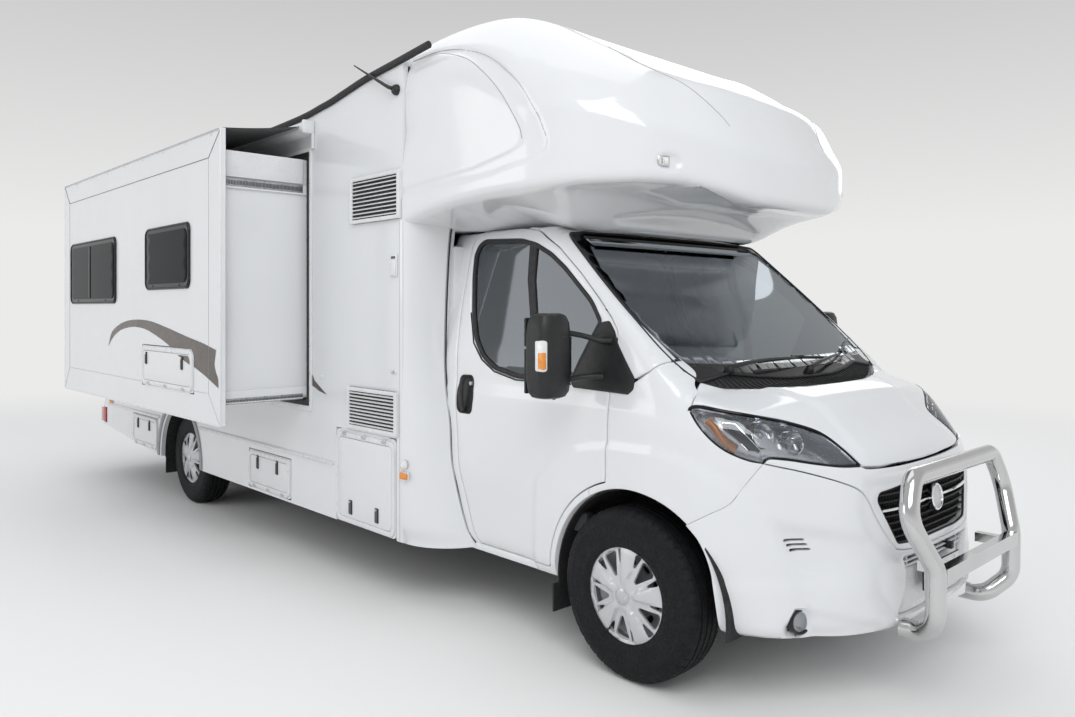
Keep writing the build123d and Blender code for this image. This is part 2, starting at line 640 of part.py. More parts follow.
def knuckle():
    """Upright on the kingpin, with its strut and the stub axle that the wheel turns on."""
    x = -KINGPIN_HALF
    body = block(x - 10, x + 38, -45, 45, 264 + FIT, 470)
    stub = rod((x, 0, TYRE_R), (-front_half - STUB_REACH, 0, TYRE_R), STUB_R)
    bracket = block(x, STRUT_X + 22, -22, 22, 430, 470)
    strut = rod((STRUT_X, 0, 430), (STRUT_X, 0, STRUT_TOP), 22)
    return body + stub + bracket + strut


keep("knuckle_right", knuckle())
keep("knuckle_left", mirrored(knuckle()))


# wheels: name, middle of the tread in x, y
WHEELS = (
    ("front_right", -front_half, 0),
    ("front_left", front_half, 0),
    ("rear_right", -rear_half, WHEELBASE),
    ("rear_left", rear_half, WHEELBASE),
)
BEAD_R = RIM_R - 8


def tyre():
    """Section in the plane of the axle: x across the tread, y from the wheel's centre."""
    half = TYRE_W / 2
    points = [(-half + 22, BEAD_R), (-half, BEAD_R + 60), (-half + 4, TYRE_R - 40),
              (-half + 22, TYRE_R - 6), (0, TYRE_R), (half - 22, TYRE_R - 6),
              (half - 4, TYRE_R - 40), (half, BEAD_R + 60), (half - 22, BEAD_R),
              (half - 30, BEAD_R + 22), (-half + 30, BEAD_R + 22)]
    return revolve(area(points), Axis.X)


def rim():
    """Rim barrel, dished disc with hand holes and the bore that runs on the stub."""
    half = TYRE_W / 2
    bore = STUB_R + 0.05
    points = [(half - 22, BEAD_R - FIT), (-half + 22, BEAD_R - FIT), (-half + 22, BEAD_R - 14),
              (-half + 40, BEAD_R - 18), (-half + 48, 90), (-half + 22, 70), (-half + 22, bore),
              (-20, bore), (-20, 62), (-half + 64, 90), (-half + 64, BEAD_R - 22),
              (half - 22, BEAD_R - 14)]
    disc = revolve(area(points), Axis.X)
    holes = [Rot(X=360 / 8 * i) * (Pos(0, 0, 140) * Cylinder(26, 400, rotation=(0, 90, 0)))
             for i in range(8)]
    return cut(disc, *[hole & block(-half, 0, -400, 400, -400, 400) for hole in holes])


one_tyre = tyre()
one_rim = rim()
for name, x, y in WHEELS:
    turn = Rot(Z=180) if x > 0 else Rot(Z=0)
    keep("tyre_" + name, Pos(x, y, TYRE_R) * turn * one_tyre)
    keep("wheel_" + name, Pos(x, y, TYRE_R) * turn * one_rim)

# ---------------------------------------------------------------- slide-out room
box_y0 = sy0 + SLIDE_PLAY
box_y1 = sy1 - SLIDE_PLAY
box_z0 = sz0 + SLIDE_PLAY_Z
box_z1 = sz1 - SLIDE_PLAY_Z
skin_back_x = SLIDE_FACE_X + SLIDE_SKIN
room = block(skin_back_x, SLIDE_INNER_X, box_y0, box_y1, box_z0, box_z1)
room = room - block(skin_back_x - 1, SLIDE_INNER_X + 1, box_y0 + SLIDE_WALL, box_y1 - SLIDE_WALL,
                    box_z0 + SLIDE_WALL, box_z1 - SLIDE_WALL)
RACK_Z = (1060, 2320)       # foot of the lower and upper drive rack
for z in RACK_Z:
    room = room + block(skin_back_x, SLIDE_INNER_X, box_y0 - RACK, box_y0, z, z + RACK_H)
    room = room + block(skin_back_x, SLIDE_INNER_X, box_y1, box_y1 + RACK, z, z + RACK_H)
keep("slide_box", room)

# windows of the slide-out's face: y0, y1, z0, z1
SLIDE_WINDOWS = ((4329, 5517, 1643, 2150), (2887, 3669, 1725, 2150))
HATCH = (2818, 3740, 1083, 1353)
ky0, ky1, kz0, kz1 = SKIN_FRAME
skin = along_x(rect(ky0, ky1, kz0, kz1, 8), SLIDE_FACE_X, skin_back_x)
slide_panes = []
FRAME_PROUD = 8
for y0, y1, z0, z1 in SLIDE_WINDOWS:
    hole = along_x(rect(y0 + 20, y1 - 20, z0 + 20, z1 - 20, 50), SLIDE_FACE_X - 1, skin_back_x + 1)
    skin = skin - hole
    pane = along_x(rect(y0 + 20, y1 - 20, z0 + 20, z1 - 20, 50), SLIDE_FACE_X, SLIDE_FACE_X + 16)
    edge = along_x(rect(y0, y1, z0, z1, 70), SLIDE_FACE_X - FRAME_PROUD, SLIDE_FACE_X)
    edge = edge - along_x(rect(y0 + 35, y1 - 35, z0 + 45, z1 - 35, 40), SLIDE_FACE_X - 20, SLIDE_FACE_X)
    slide_panes.append(pane + edge)
py0, py1, pz0, pz1 = HATCH
skin = skin - block(SLIDE_FACE_X - 1, skin_back_x + 1, py0 - GAP, py1 + GAP, pz0 - GAP, pz1 + GAP)
keep("slide_skin", skin)
keep("slide_windows", *slide_panes)


def panel_door(x_out, thick, y0, y1, z0, z1, latch_z):
    """Flat hatch door with two raised latches along the edge away from its hinge."""
    door = along_x(rect(y0, y1, z0, z1, 30), x_out, x_out + thick)
    for share in (0.25, 0.75):
        y = y0 + (y1 - y0) * share
        door = door + along_x(rect(y - LATCH_W / 2, y + LATCH_W / 2, latch_z - 35, latch_z + 35, 8),
                              x_out - 5, x_out)
    hinge_z = z1 if latch_z < (z0 + z1) / 2 else z0
    return door + barrel((x_out, y0 + 60, hinge_z), (x_out, y1 - 60, hinge_z))


hatch_door = panel_door(SLIDE_FACE_X, SLIDE_SKIN, py0, py1, pz0, pz1, pz1 - LATCH_IN)
keep("slide_hatch", hatch_door)

for name, (y0, y1, z0, z1, edge) in LOCKERS.items():
    latch_z = z0 + LATCH_IN if edge == "top" else z1 - LATCH_IN
    keep("locker_door_" + name, panel_door(-HALF, WALL, y0, y1, z0, z1, latch_z))

# trim frame round the hole, and the guide posts inside it that the racks run on
trim = block(-HALF - OPENING_TRIM, -HALF, sy0 - 28, sy1 + 28, sz0 - 28, sz1 + 28) \
    - block(-FAR, 0, sy0, sy1, sz0, sz1)
posts = []
for y_in, y_out in ((box_y0 - RACK - FIT, sy0 - 30), (box_y1 + RACK + FIT, sy1 + 30)):
    posts.append(block(-INNER, -INNER + 40, min(y_in, y_out), max(y_in, y_out), sz0, sz1))
keep("slide_frame", trim, *posts)

# awning that rolls out over the slide-out: housing on the wall, cloth to the room's top edge
TOPPER_RAIL = 26
roller = along_y(Pos(-HALF - TOPPER_R - 4, TOPPER_Z) * Circle(TOPPER_R), ky0 + 10, ky1 - 10)
for y in (ky0 - 32, ky1 - 10):
    roller = roller + block(-HALF - 2 * TOPPER_R - 12, -HALF, y + 0, y + 42, 2690, 2745)
keep("topper_roller", roller)
rail_x = SLIDE_FACE_X + 20
cloth_low = kz1 + FIT
cloth_x = -HALF - 2 * TOPPER_R - 4 - FIT
cloth = along_y(area([(cloth_x, TOPPER_Z - 5), (cloth_x, TOPPER_Z + 5),
                      (rail_x - 10, cloth_low + TOPPER_RAIL), (rail_x - 10, cloth_low),
                      (rail_x + 14, cloth_low), (rail_x + 14, cloth_low + 12)]), ky0 + 20, ky1 - 20)
keep("topper_cloth", cloth)

# ---------------------------------------------------------------- entry door, roof and rear
entry = block(HALF - WALL, HALF, ey0, ey1, ez0, ez1)
entry_handle = along_x(rect(ey1 - 110, ey1 - 60, 1350, 1500, 15), HALF, HALF + 22)
entry = entry + entry_handle
for z in (ez0 + 150, (ez0 + ez1) / 2, ez1 - 250):
    entry = entry + barrel((HALF, ey0, z), (HALF, ey0, z + 100))
keep("entry_door", entry)

lid = block(-hatch_w / 2, hatch_w / 2, hy0, hy1, ROOF_STEP_Z + 20 + FIT, ROOF_STEP_Z + 20 + LID_H)
lid = fillet(lid.edges().filter_by(Axis.Z), 60)
keep("roof_hatch_lid", lid)
cooler = along_x(area([(3900, 2700), (4800, 2700), (4760, 2960), (4000, 2990)], [0, 0, 60, 90]),
                 -330, 330)
keep("air_conditioner", cooler - along_x(body_side(0, BODY_REAR, SKIRT_TOP), -FAR, FAR))

AWNING = (2150, 6100, 2600, 2740)
ay0, ay1, az0, az1 = AWNING
keep("awning_cassette", along_y(area([(HALF, az0), (HALF + 60, az0), (AWNING_REACH, az0 + 50),
                                      (AWNING_REACH, az1 - 30), (HALF + 60, az1), (HALF, az1)], 12),
                                ay0, ay1))

rear_bar = along_z(area([(-HALF, BUMPER_Y), (-HALF, BODY_REAR + 20), (-HALF + 60, BODY_REAR + 70),
                         (HALF - 60, BODY_REAR + 70), (HALF, BODY_REAR + 20), (HALF, BUMPER_Y),
                         (INNER, BUMPER_Y), (INNER, BODY_REAR), (-INNER, BODY_REAR),
                         (-INNER, BUMPER_Y)]),
                   REAR_FOOT, SKIRT_TOP)
lamp_box = block(-HALF - 8, -HALF + 100, BODY_REAR - 80, BODY_REAR + 80, 480, 630)
rear_bar = cut(rear_bar, lamp_box, mirrored(lamp_box))
rear_lamp = fillet(lamp_box.edges().filter_by(Axis.X), 20)
rear_lamp = rear_lamp - block(-HALF + 40, 0, 0, BODY_REAR, 0, FAR)
keep("rear_bumper", rear_bar)
keep("tail_lamps", *both(rear_lamp))

# tow bar: cross member and a square receiver with the hole for its hitch pin
RECEIVER = 65
RECEIVER_BORE = 51
PIN_R = 8
RECEIVER_Z = 385
hitch_wall = (RECEIVER - RECEIVER_BORE) / 2
hitch = block(-RAIL_HALF - 30, RAIL_HALF + 30, RAIL_REAR, RAIL_REAR + 80, 440, 540)
socket = block(-RECEIVER / 2, RECEIVER / 2, RAIL_REAR, TOW_REACH, RECEIVER_Z, RECEIVER_Z + RECEIVER)
socket = socket - block(-RECEIVER_BORE / 2, RECEIVER_BORE / 2, RAIL_REAR + 80, TOW_REACH + 1,
                        RECEIVER_Z + hitch_wall, RECEIVER_Z + RECEIVER - hitch_wall)
PIN_Y = TOW_REACH - 60
pin_z = RECEIVER_Z + RECEIVER / 2
socket = socket - rod((-100, PIN_Y, pin_z), (100, PIN_Y, pin_z), PIN_R)
keep("tow_hitch", hitch + socket)


# ---------------------------------------------------------------- bull bar
def tube(points, radii, radius):
    """Round tube along straight runs joined by arcs."""
    path = FilletPolyline(*points, radius=radii)
    start = Plane(origin=path @ 0, z_dir=path % 0)
    return sweep(start * Circle(radius), path=path)


BULL_BENDS = [(330, -880, 312), (330, -985, 312), (420, -1068, 400), (420, -1070, 600),
              (515, -1000, 800), (424, -982, 944)]
hoop = [(-x, y, z) for x, y, z in BULL_BENDS] + list(reversed(BULL_BENDS))
hoop_radii = [90, 90, 110, 130, 70, 70, 130, 110, 90, 90]
bull_bar = tube(hoop, hoop_radii, BULL_TUBE)
lower_bar = block(-400, 400, -BULL_REACH, -BULL_REACH + 40, 545, 605)
brace = block(-330, -290, -1066, -960, 555, 595)
bull_bar = bull_bar + lower_bar + brace + mirrored(brace)
bull_bar = bull_bar - cab_outer
keep("bull_bar", bull_bar.solids().sort_by(SortBy.VOLUME)[-1])

# ---------------------------------------------------------------- shift and export
REACH_LEFT = max(MIRROR_REACH, AWNING_REACH)
REACH_RIGHT = -(SLIDE_FACE_X - FRAME_PROUD)
shift_x = -(REACH_LEFT - REACH_RIGHT) / 2
shift_y = -(TOW_REACH - BULL_REACH) / 2
to_centre = Pos(shift_x, shift_y, 0)

if __name__ == "__main__":
    os.makedirs("parts", exist_ok=True)
    for name, solids in parts.items():
        placed = [to_centre * s for s in solids]
        shape = placed[0] if len(placed) == 1 else Compound(children=placed)
        export_step(shape, f"parts/{name}.step")
    print("nodes:", len(parts), "shift:", shift_x, shift_y)
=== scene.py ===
import bpy
import bmesh
import math
import numpy as np
from mathutils import Vector, Matrix
from mathutils.geometry import delaunay_2d_cdt


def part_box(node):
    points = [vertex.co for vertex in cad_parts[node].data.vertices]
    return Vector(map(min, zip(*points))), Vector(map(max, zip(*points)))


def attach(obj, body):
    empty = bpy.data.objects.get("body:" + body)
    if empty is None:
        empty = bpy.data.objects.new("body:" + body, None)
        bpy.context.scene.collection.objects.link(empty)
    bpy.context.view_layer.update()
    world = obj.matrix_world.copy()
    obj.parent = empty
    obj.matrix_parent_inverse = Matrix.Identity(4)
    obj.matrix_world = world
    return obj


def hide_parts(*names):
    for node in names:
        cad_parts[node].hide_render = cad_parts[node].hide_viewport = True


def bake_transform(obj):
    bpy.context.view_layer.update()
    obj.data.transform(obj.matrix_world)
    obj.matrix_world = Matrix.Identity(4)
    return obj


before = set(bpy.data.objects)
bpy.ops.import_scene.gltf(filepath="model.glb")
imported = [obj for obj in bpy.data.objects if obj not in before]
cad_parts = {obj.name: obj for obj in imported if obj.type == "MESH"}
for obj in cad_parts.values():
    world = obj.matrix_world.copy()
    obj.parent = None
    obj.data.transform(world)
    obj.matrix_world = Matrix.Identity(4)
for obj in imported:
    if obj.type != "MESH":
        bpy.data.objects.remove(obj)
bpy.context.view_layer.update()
SHIFT = Vector((0.236, -2.843, 0.0))     # from the front axle's middle to the row frame

# ---------------------------------------------------------------- camera
scene = bpy.context.scene
cam_data = bpy.data.cameras.new("camera")
camera = bpy.data.objects.new("camera", cam_data)
scene.collection.objects.link(camera)
scene.camera = camera
PHOTO_W, PHOTO_H = 1075, 717             # the photograph's frame
FOCAL, HORIZON = 839.256, 307.85         # in its pixels, the second from its top edge
SENSOR = 36
CAM_YAW = math.radians(43.172)
camera.location = Vector((-3.7469, -2.3747, 1.609)) + SHIFT
camera.rotation_euler = (math.pi / 2, 0, -CAM_YAW)
cam_data.sensor_width = SENSOR
cam_data.lens = SENSOR * FOCAL / PHOTO_W
cam_data.shift_y = -(PHOTO_H / 2 - HORIZON) / PHOTO_W
cam_data.clip_start, cam_data.clip_end = 0.05, 200
scene.view_settings.view_transform = "Standard"

# ---------------------------------------------------------------- node materials
def node(tree, kind, inputs=None, **values):
    n = tree.nodes.new(kind)
    for k, v in values.items():
        setattr(n, k, v)
    for k, v in (inputs or {}).items():
        n.inputs[k].default_value = v
    return n


def mixed(tree, share, first, second, out):
    """Mix of two shaders, led to the output."""
    mix = node(tree, "ShaderNodeMixShader")
    tree.links.new(share, mix.inputs[0])
    tree.links.new(first.outputs[0], mix.inputs[1])
    tree.links.new(second.outputs[0], mix.inputs[2])
    tree.links.new(mix.outputs[0], out.inputs[0])


def blank(name):
    """New material, its empty node tree and the output node."""
    m = bpy.data.materials.new(name)
    m.use_nodes = True
    m.node_tree.nodes.clear()
    return m, m.node_tree, node(m.node_tree, "ShaderNodeOutputMaterial")


def noise(tree, scale, detail=3, stretch=(1, 1, 1)):
    coord = node(tree, "ShaderNodeTexCoord")
    mapping = node(tree, "ShaderNodeMapping", {"Scale": stretch})
    tree.links.new(coord.outputs["Object"], mapping.inputs["Vector"])
    n = node(tree, "ShaderNodeTexNoise", {"Scale": scale, "Detail": detail})
    tree.links.new(mapping.outputs[0], n.inputs["Vector"])
    return n


def ramp(tree, source, stops):
    r = node(tree, "ShaderNodeValToRGB")
    els = r.color_ramp.elements
    while len(els) < len(stops):
        els.new(0.5)
    for e, (pos, col) in zip(els, stops):
        e.position = pos
        e.color = (*col, 1) if hasattr(col, "__len__") else (col, col, col, 1)
    tree.links.new(source, r.inputs["Fac"])
    return r


ROUGH_VARY = 0.25       # share by which roughness wanders


def material(name, color, rough, metal, coat, vary, vary_scale, bump, bump_scale, spec=0.5, sheen=0,
        stretch=(1, 1, 1)):
    """Principled surface whose colour and roughness wander a little, with a fine bump."""
    m, t, out = blank(name)
    b = node(t, "ShaderNodeBsdfPrincipled", {"Metallic": metal, "Coat Weight": coat, "Coat Roughness": 0.05,
        "IOR": 1.5, "Specular IOR Level": spec, "Sheen Weight": sheen})
    t.links.new(b.outputs[0], out.inputs[0])
    dark = tuple(max(0, c * (1 - vary)) for c in color)
    light = tuple(min(1, c * (1 + vary * 0.6)) for c in color)
    tone = ramp(t, noise(t, vary_scale).outputs["Fac"], [(0.35, dark), (0.65, light)])
    t.links.new(tone.outputs["Color"], b.inputs["Base Color"])
    r = node(t, "ShaderNodeMapRange", {"From Min": 0.3, "From Max": 0.7, "To Min": rough * (1 - ROUGH_VARY),
        "To Max": min(1, rough * (1 + ROUGH_VARY))})
    t.links.new(noise(t, vary_scale * 3.7, 4).outputs["Fac"], r.inputs["Value"])
    t.links.new(r.outputs[0], b.inputs["Roughness"])
    if bump:
        relief = node(t, "ShaderNodeBump", {"Strength": bump, "Distance": 0.001})
        t.links.new(noise(t, bump_scale, stretch=stretch).outputs["Fac"], relief.inputs["Height"])
        t.links.new(relief.outputs[0], b.inputs["Normal"])
    return m


# name, colour, roughness, metal, coat, wander of the colour and its scale, bump and its scale, then any more
LOOKS = {
    "paint": ("van_paint", (0.8, 0.81, 0.825), 0.16, 0, 0.6, 0.012, 2, 0.02, 900),
    "gelcoat": ("gelcoat", (0.79, 0.8, 0.815), 0.13, 0, 0.5, 0.015, 1.5, 0.05, 14),
    "wall": ("wall_panel", (0.775, 0.785, 0.8), 0.2, 0, 0.3, 0.015, 1.2, 0.04, 9),
    "trim_white": ("white_trim", (0.76, 0.77, 0.78), 0.32, 0, 0, 0.03, 8, 0.06, 500),
    "plastic_black": ("black_plastic", (0.011, 0.0115, 0.0125), 0.42, 0, 0, 0.2, 20, 0.35, 1400),
    "plastic_gloss": ("gloss_black", (0.009, 0.009, 0.0105), 0.16, 0, 0, 0.1, 12, 0.03, 300, {"spec": 0.28}),
    "rubber": ("rubber", (0.02, 0.02, 0.022), 0.62, 0, 0, 0.2, 30, 0.3, 900),
    "tyre": ("tyre_rubber", (0.0095, 0.01, 0.0115), 0.66, 0, 0, 0.25, 25, 0.5, 1200, {"spec": 0.22}),
    "steel": ("polished_steel", (0.63, 0.63, 0.63), 0.08, 1, 0, 0.04, 5, 0.05, 400, {"stretch": (1, 1, 30)}),
    "alu": ("aluminium", (0.62, 0.63, 0.65), 0.3, 1, 0, 0.06, 10, 0.15, 300, {"stretch": (1, 30, 1)}),
    "silver": ("wheel_silver", (0.6, 0.61, 0.63), 0.38, 0.4, 0.3, 0.03, 9, 0.008, 1200),
    "chassis": ("chassis_black", (0.025, 0.025, 0.027), 0.55, 0, 0, 0.3, 12, 0.4, 120),
    "galv": ("galvanised", (0.42, 0.43, 0.44), 0.42, 0.8, 0, 0.18, 45, 0.1, 90),
    # grey of the rear arch bands, partly the moulding's own grey and partly painted shade of a lip that curves in
    # toward the tyre
    "grey_trim": ("grey_trim", (0.3, 0.305, 0.31), 0.45, 0, 0, 0.06, 12, 0.2, 900),
    "fabric": ("seat_cloth", (0.075, 0.077, 0.082), 0.85, 0, 0, 0.2, 60, 0.8, 900, {"sheen": 0.3}),
    "dash": ("dash_plastic", (0.05, 0.052, 0.055), 0.55, 0, 0, 0.15, 15, 0.5, 700),
    "lamp_red": ("lamp_red", (0.45, 0.015, 0.012), 0.12, 0, 0.6, 0.15, 60, 0.3, 260),
    "lamp_amber": ("lamp_amber", (0.85, 0.3, 0.03), 0.14, 0, 0.6, 0.12, 60, 0.3, 260),
    "lamp_white": ("lamp_white", (0.82, 0.82, 0.8), 0.1, 0, 0.6, 0.06, 60, 0.3, 260),
    "chrome": ("lamp_chrome", (0.86, 0.87, 0.88), 0.07, 1, 0, 0.03, 20, 0.04, 200),
    "liner": ("arch_liner", (0.016, 0.016, 0.017), 0.75, 0, 0, 0.25, 10, 0.6, 300),
    "swoosh": ("stripe_taupe", (0.075, 0.058, 0.05), 0.3, 0, 0.2, 0.08, 4, 0.02, 600),
    "topper": ("topper_fabric", (0.03, 0.031, 0.034), 0.8, 0, 0, 0.15, 30, 0.7, 1100, {"sheen": 0.2}),
    "floor_ply": ("floor_underside", (0.06, 0.058, 0.055), 0.7, 0, 0, 0.2, 8, 0.4, 60),
    "lamp_bezel": ("lamp_bezel", (0.6, 0.61, 0.64), 0.22, 0.8, 0, 0.08, 20, 0.1, 500),
    "plate": ("blank_plate", (0.72, 0.72, 0.7), 0.3, 0, 0.3, 0.03, 20, 0.05, 800),
    "mirror": ("mirror_face", (0.75, 0.77, 0.79), 0.03, 1, 0, 0.02, 6, 0, 200),
    "acrylic": ("acrylic_window", (0.008, 0.01, 0.012), 0.06, 0, 0, 0.15, 1.2, 0.03, 5, {"spec": 0.05}),
    "seal": ("grey_seal", (0.085, 0.088, 0.092), 0.5, 0, 0, 0.12, 18, 0.2, 700),
    "smoked": ("smoked_dome", (0.09, 0.095, 0.1), 0.1, 0, 0.4, 0.08, 6, 0.03, 80),
    "steel_wheel": ("steel_wheel", (0.33, 0.335, 0.345), 0.38, 0.6, 0.2, 0.08, 15, 0.08, 300),
    # grey line for real joints and seams, and also for painted shade along the overcab's swages
    "grey_line": ("joint_line", (0.36, 0.37, 0.38), 0.5, 0, 0, 0.05, 10, 0.05, 200),
    "inside": ("cab_inner_trim", (0.1, 0.102, 0.108), 0.65, 0, 0, 0.1, 12, 0.4, 800),
}
M = {}
for key, look in LOOKS.items():
    more = look[-1] if isinstance(look[-1], dict) else {}
    M[key] = material(*[q for q in look if q is not more], **more)


def glass_material(name, tint, rough, see, ior=1.6, mirror=False):
    """Dark or clear pane: a mix of tinted see-through and glossy reflection by Fresnel."""
    m, t, out = blank(name)
    clear = node(t, "ShaderNodeBsdfTransparent")
    tone = noise(t, 1.3, 2)
    c = ramp(t, tone.outputs["Fac"], [(0.3, tuple(v * 0.93 for v in tint)), (0.7, tint)])
    t.links.new(c.outputs[0], clear.inputs[0])
    gloss = node(t, "ShaderNodeBsdfPrincipled", {"Roughness": rough, "Metallic": 1.0 if mirror else 0.0,
        "Base Color": (0.8, 0.86, 0.92, 1) if mirror else (0.012, 0.014, 0.016, 1),
        "Coat Weight": 0.0 if mirror else 0.5, "Coat Roughness": 0.03})
    fres = node(t, "ShaderNodeFresnel", {"IOR": ior})
    add = node(t, "ShaderNodeMath", {1: 1 - see}, operation="ADD", use_clamp=True)
    t.links.new(fres.outputs[0], add.inputs[0])
    mixed(t, add.outputs[0], clear, gloss, out)
    return m


M["screen_glass"] = glass_material("windscreen_glass", (0.26, 0.32, 0.3), 0.02, 0.84, 2.0, True)
M["side_glass"] = glass_material("door_glass", (0.16, 0.19, 0.2), 0.03, 0.94, 1.7, True)
M["dark_glass"] = glass_material("tinted_glass", (0.03, 0.032, 0.036), 0.05, 0.1)
M["lens"] = glass_material("lamp_lens", (0.97, 0.975, 0.98), 0.02, 0.95, 1.7, True)


def piece(name, verts, faces, mats, body="root", smooth=True, replaces=(), index=None, angle=None):
    me = bpy.data.meshes.new(name)
    me.from_pydata([tuple(Vector(v) + SHIFT) for v in verts], [], [tuple(int(i) for i in f) for f in faces])
    for m in mats:
        me.materials.append(M[m])
    if index is not None:
        for p, i in zip(me.polygons, index):
            p.material_index = int(i)
    bm = bmesh.new()
    bm.from_mesh(me)
    bmesh.ops.remove_doubles(bm, verts=bm.verts, dist=1e-5)
    bmesh.ops.dissolve_degenerate(bm, edges=bm.edges, dist=1e-6)
    bm.to_mesh(me)
    bm.free()
    me.validate()
    ob = bpy.data.objects.new(name, me)
    scene.collection.objects.link(ob)
    if smooth:
        for p in me.polygons:
            p.use_smooth = True
        if angle:
            with bpy.context.temp_override(object=ob, active_object=ob, selected_objects=[ob],
                    selected_editable_objects=[ob]):
                bpy.ops.object.shade_smooth_by_angle(angle=math.radians(angle))
    if body:
        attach(ob, body)
    if replaces:
        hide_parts(*([replaces] if isinstance(replaces, str) else replaces))
    return ob


def quads(rows, cols, round_rows=False, round_cols=False, turned=False):
    """Faces of a grid of points, row after row; turned gives them the other way round."""
    out = []
    for i in range(rows if round_rows else rows - 1):
        for k in range(cols if round_cols else cols - 1):
            j, l = (i + 1) % rows, (k + 1) % cols
            q = (i * cols + k, i * cols + l, j * cols + l, j * cols + k)
            out.append((q[0], q[3], q[2], q[1]) if turned else q)
    return out


def end_faces(rows, cols):
    """First and last row of a grid as closing faces."""
    return [tuple(range(cols))[::-1], tuple((rows - 1) * cols + k for k in range(cols))]


class Build:
    """Collects many small solids of one piece."""

    def __init__(self):
        self.v, self.f, self.m = [], [], []

    def add(self, verts, faces, mat=0):
        o = len(self.v)
        self.v += [tuple(float(c) for c in q) for q in verts]
        self.f += [tuple(int(i) + o for i in f) for f in faces]
        self.m += [mat] * len(faces)
        return self

    def box(self, x0, x1, y0, y1, z0, z1, r=0.002, mat=0, frame_=None):
        """Box with small rounded edges."""
        r = min(r, 0.45 * min(abs(x1 - x0), abs(y1 - y0), abs(z1 - z0)))
        bm = bmesh.new()
        bmesh.ops.create_cube(bm, size=1)
        bmesh.ops.scale(bm, vec=(abs(x1 - x0), abs(y1 - y0), abs(z1 - z0)), verts=bm.verts)
        bmesh.ops.translate(bm, vec=((x0 + x1) / 2, (y0 + y1) / 2, (z0 + z1) / 2), verts=bm.verts)
        if r > 0:
            bmesh.ops.bevel(bm, geom=list(bm.edges), offset=r, segments=2, profile=0.5, affect="EDGES")
        return self.take(bm, mat, frame_)

    def take(self, bm, mat=0, frame_=None):
        if frame_ is not None:
            bmesh.ops.transform(bm, matrix=frame_, verts=bm.verts)
        bm.verts.index_update()
        self.add([v.co[:] for v in bm.verts], [[v.index for v in f.verts] for f in bm.faces], mat)
        bm.free()
        return self

    def sweep(self, path, radius, mat=0, sides=12, closed=False, caps=True, flat=1.0, up=(0, 0, 1)):
        """Tube along dense points."""
        p = np.array(path, float)
        n = len(p)
        if closed:
            tan = np.roll(p, -1, 0) - np.roll(p, 1, 0)
        else:
            tan = np.gradient(p, axis=0)
        tan /= np.linalg.norm(tan, axis=1, keepdims=True)
        u = np.array(up, float)
        if abs(tan[0] @ u) > 0.9:
            u = np.array((1.0, 0, 0))
        rings = []
        rad = radius if hasattr(radius, "__len__") else [radius] * n
        for i in range(n):
            a = u - tan[i] * (tan[i] @ u)
            a /= np.linalg.norm(a)
            u = a
            b = np.cross(tan[i], a)
            th = np.arange(sides) * 2 * math.pi / sides
            rings.append(p[i] + rad[i] * (np.outer(np.cos(th), a) * flat + np.outer(np.sin(th), b)))
        v = np.concatenate(rings)
        f = quads(n, sides, closed, True)
        if caps and not closed:
            f += end_faces(n, sides)
        return self.add(v, f, mat)

    def turn(self, profile, centre, direction, sides=32, mat=0):
        """Profile of (along, radius), back to front, turned about any direction."""
        w = Vector(direction).normalized()
        u = w.orthogonal().normalized()
        q = w.cross(u)
        v = []
        for i in range(sides):
            t = 2 * math.pi * i / sides
            ray = u * math.cos(t) + q * math.sin(t)
            v += [tuple(Vector(centre) + w * a + ray * r) for a, r in profile]
        return self.add(v, quads(sides, len(profile), True, turned=True), mat)

    def prism(self, outline, lo, hi, axis="x", mat=0, bevel=0.0, segments=2):
        """Closed 2-D outline carried along an axis from lo to hi."""
        bm = bmesh.new()
        def at(p, d):
            return {"x": (d, p[0], p[1]), "y": (p[0], d, p[1]), "z": (p[0], p[1], d)}[axis]
        low = [bm.verts.new(at(p, lo)) for p in outline]
        high = [bm.verts.new(at(p, hi)) for p in outline]
        n = len(outline)
        caps = [bm.faces.new(low), bm.faces.new(high)]
        for i in range(n):
            bm.faces.new((low[i], low[(i + 1) % n], high[(i + 1) % n], high[i]))
        bmesh.ops.recalc_face_normals(bm, faces=bm.faces)
        if bevel:
            rim = [e for e in bm.edges if any(f in caps for f in e.link_faces)]
            bmesh.ops.bevel(bm, geom=rim, offset=bevel, segments=segments, profile=0.5, affect="EDGES",
                clamp_overlap=True)
        return self.take(bm, mat)

    def mirror(self):
        """Adds the same solids on the other side of the middle plane."""
        o = len(self.v)
        self.v += [(-x, y, z) for x, y, z in self.v]
        self.f += [tuple(i + o for i in f)[::-1] for f in self.f]
        self.m += list(self.m)
        return self

    def done(self, name, mats, body="root", replaces=(), smooth=True, angle=35, mirrored=False):
        v = [(-x, y, z) for x, y, z in self.v] if mirrored else self.v
        f = [q[::-1] for q in self.f] if mirrored else self.f
        return piece(name, v, f, mats, body, smooth, replaces, self.m, angle)

    def cut(self, mat, *cut, **how):
        """Adds a skin cut from a surface."""
        verts, faces = skin(*cut, **how)
        return self.add(verts, faces, mat)

